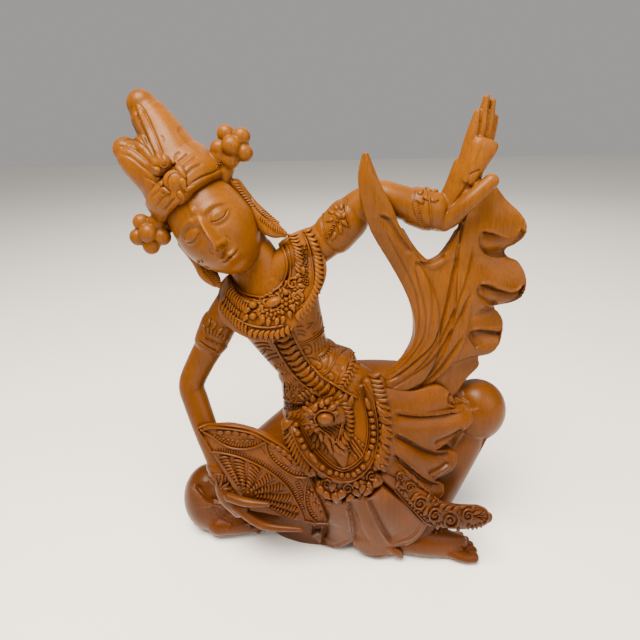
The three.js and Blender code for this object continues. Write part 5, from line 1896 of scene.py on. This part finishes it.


# Hibiscus wood, oiled and varnished to a satin. To the eye it has a straight, quiet grain that runs
# up the block, fine open pores, slow patches of tone, painted light towards the top and painted shade in the
# carving's recesses.
def makeHibiscus():
    material = bpy.data.materials.new("varnishedHibiscus")
    material.use_nodes = True
    tree = material.node_tree
    tree.nodes.clear()
    where = addNode(tree, "ShaderNodeTexCoord").outputs["Object"]

    # tone up the block: partly the wood's own, partly painted light that is brightest at the top
    height = addNode(tree, "ShaderNodeSeparateXYZ", {"Vector": where}).outputs["Z"]
    upTheBlock = addNode(
        tree, "ShaderNodeMapRange", {
            "Value": height, "From Min": wood["lowerEnd"], "From Max": wood["upperEnd"],
        }
    ).outputs["Result"]
    toneAndTopLight = addNode(
        tree, "ShaderNodeMix", {
            "Factor": upTheBlock, "A": linear(wood["lower"]), "B": linear(wood["upper"]),
        },
        data_type="RGBA",
    ).outputs["Result"]

    # grain lines, pores and patches, each a share of the tone that is left
    shades = []
    for wide, long, detail, rough, span, low, high in (
        (wood["lineWidth"], wood["lineLength"], 3.0, 0.55, wood["lineSpan"], wood["lineTone"], 1.0),
        (wood["poreWidth"], wood["poreLength"], 1.0, 0.5, wood["poreSpan"], 1.0, wood["poreTone"]),
        (wood["patch"], wood["patch"], 2.0, 0.5, wood["patchSpan"], wood["patchTone"], wood["patchLight"]),
    ):
        perMetre = (1000 / wide, 1000 / wide, 1000 / long)
        stretched = addNode(
            tree, "ShaderNodeMapping", {"Vector": where, "Scale": perMetre},
        ).outputs["Vector"]
        noise = addNode(
            tree, "ShaderNodeTexNoise", {
                "Vector": stretched, "Scale": 1.0, "Detail": detail, "Roughness": rough,
            }
        ).outputs["Fac"]
        ranges = {"Value": noise, "From Min": span[0], "From Max": span[1], "To Min": low, "To Max": high}
        shades.append(addNode(tree, "ShaderNodeMapRange", ranges).outputs["Result"])
    lineShade, poreShade, patchShade = shades
    grainShade = addNode(
        tree, "ShaderNodeMath", {0: lineShade, 1: poreShade}, operation="MULTIPLY",
    ).outputs[0]
    shade = addNode(tree, "ShaderNodeMath", {0: grainShade, 1: patchShade}, operation="MULTIPLY").outputs[0]
    grained = addNode(
        tree, "ShaderNodeVectorMath", {0: toneAndTopLight, "Scale": shade}, operation="SCALE"
    ).outputs["Vector"]

    # painted shade in the recesses, wide ones and fine ones, found by ambient occlusion
    paintedShades = []
    for reach, start, full, strength in wood["cuts"].values():
        recess = addNode(
            tree, "ShaderNodeAmbientOcclusion", {"Distance": reach / 1000}, samples=8
        ).outputs["AO"]
        ranges = {"Value": recess, "From Min": start, "From Max": full, "To Max": strength}
        paintedShades.append(addNode(tree, "ShaderNodeMapRange", ranges).outputs["Result"])
    paintedShade = addNode(tree, "ShaderNodeMath", dict(enumerate(paintedShades)), operation="MAXIMUM").outputs[0]
    # painted shade mixed over the grained wood
    woodWithPaintedShade = addNode(
        tree, "ShaderNodeMix", {"Factor": paintedShade, "A": grained, "B": linear(wood["paintedShade"])}, data_type="RGBA"
    ).outputs["Result"]

    bump = addNode(
        tree, "ShaderNodeBump", {
            "Height": shade, "Strength": wood["bump"], "Distance": wood["bumpDepth"] / 1000,
        }
    )
    shader = addNode(
        tree, "ShaderNodeBsdfPrincipled",
        {
            "Base Color": woodWithPaintedShade, "Roughness": wood["roughness"], "IOR": wood["ior"],
            "Specular IOR Level": wood["specular"], "Coat Weight": wood["coat"],
            "Coat Roughness": wood["coatRoughness"], "Normal": bump.outputs["Normal"],
        },
    )
    addNode(tree, "ShaderNodeOutputMaterial", {"Surface": shader.outputs["BSDF"]})
    return material


varnishedHibiscus = makeHibiscus()
print("wood made")


stage = {
    "floor": "#f6f4f1",
    "floorSize": 6.0,  # m
    "floorRoughness": 0.6,
    "gap": 0.0002,  # m between the floor and the carving
    "world": "#f4f1ec",
    "worldStrength": 0.42,
    "lights": [  # name, place and aim in m, size in m, watts, colour
        ("ceilingLight", (-0.20, -0.36, 1.20), (0, 0, 0.18), 0.75, 56, "#fff1de"),
        ("fillLight", (0.9, -0.8, 0.8), (0, 0, 0.15), 1.2, 13, "#fbf6ee"),
        ("backLight", (0.2, 1.1, 1.0), (0, 0, 0.2), 1.4, 5, "#ffffff"),
    ],
}


def addFloor():
    bm = bmesh.new()
    bmesh.ops.create_grid(bm, x_segments=1, y_segments=1, size=stage["floorSize"] / 2)
    floor = link(bpy.data.objects.new("floor", meshFrom("floor", bm)))
    floor.location.z = -stage["gap"]
    material = bpy.data.materials.new("paleFloor")
    material.use_nodes = True
    shader = material.node_tree.nodes["Principled BSDF"]
    shader.inputs["Base Color"].default_value = linear(stage["floor"])
    shader.inputs["Roughness"].default_value = stage["floorRoughness"]
    floor.data.materials.append(material)


def addLight(name, spot, aim, size, watts, colour):
    data = bpy.data.lights.new(name, "AREA")
    data.shape = "DISK"
    data.size = size
    data.energy = watts
    data.color = linear(colour)[:3]
    obj = link(bpy.data.objects.new(name, data))
    obj.location = spot
    obj.rotation_euler = (Vector(aim) - Vector(spot)).to_track_quat("-Z", "Y").to_euler()


def addWorld():
    world = bpy.data.worlds.new("paleRoom")
    world.use_nodes = True
    background = world.node_tree.nodes["Background"]
    background.inputs["Color"].default_value = linear(stage["world"])
    background.inputs["Strength"].default_value = stage["worldStrength"]
    bpy.context.scene.world = world


addFloor()
for light in stage["lights"]:
    addLight(*light)
addWorld()
print("stage set")


fewer = {  # triangles kept of each finished form
    "head": 70000, "crown": 80000, "torso": 80000, "collar": 40000, "rightArm": 14000, "leftArm": 30000,
    "armlets": 20000, "scarf": 90000, "legs": 50000, "foot": 22000, "skirt": 100000, "apron": 40000,
    "border": 25000, "fan": 60000, "tail": 18000,
}
for name, triangles in fewer.items():
    thin(bpy.data.objects[name], triangles)
print("faces thinned")

for piece in carving:
    co, _ = arraysOf(piece.data)
    putBack(piece.data, (co + np.array(drawing["shift"])) * drawing["toMetres"])
    piece.data.materials.append(varnishedHibiscus)
    for face in piece.data.polygons:
        face.use_smooth = True
    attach(piece, "root")
    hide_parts("legong_dancer")

triangles = {p.name: sum(len(f.vertices) - 2 for f in p.data.polygons) for p in carving}
print("triangles", triangles, sum(triangles.values()))
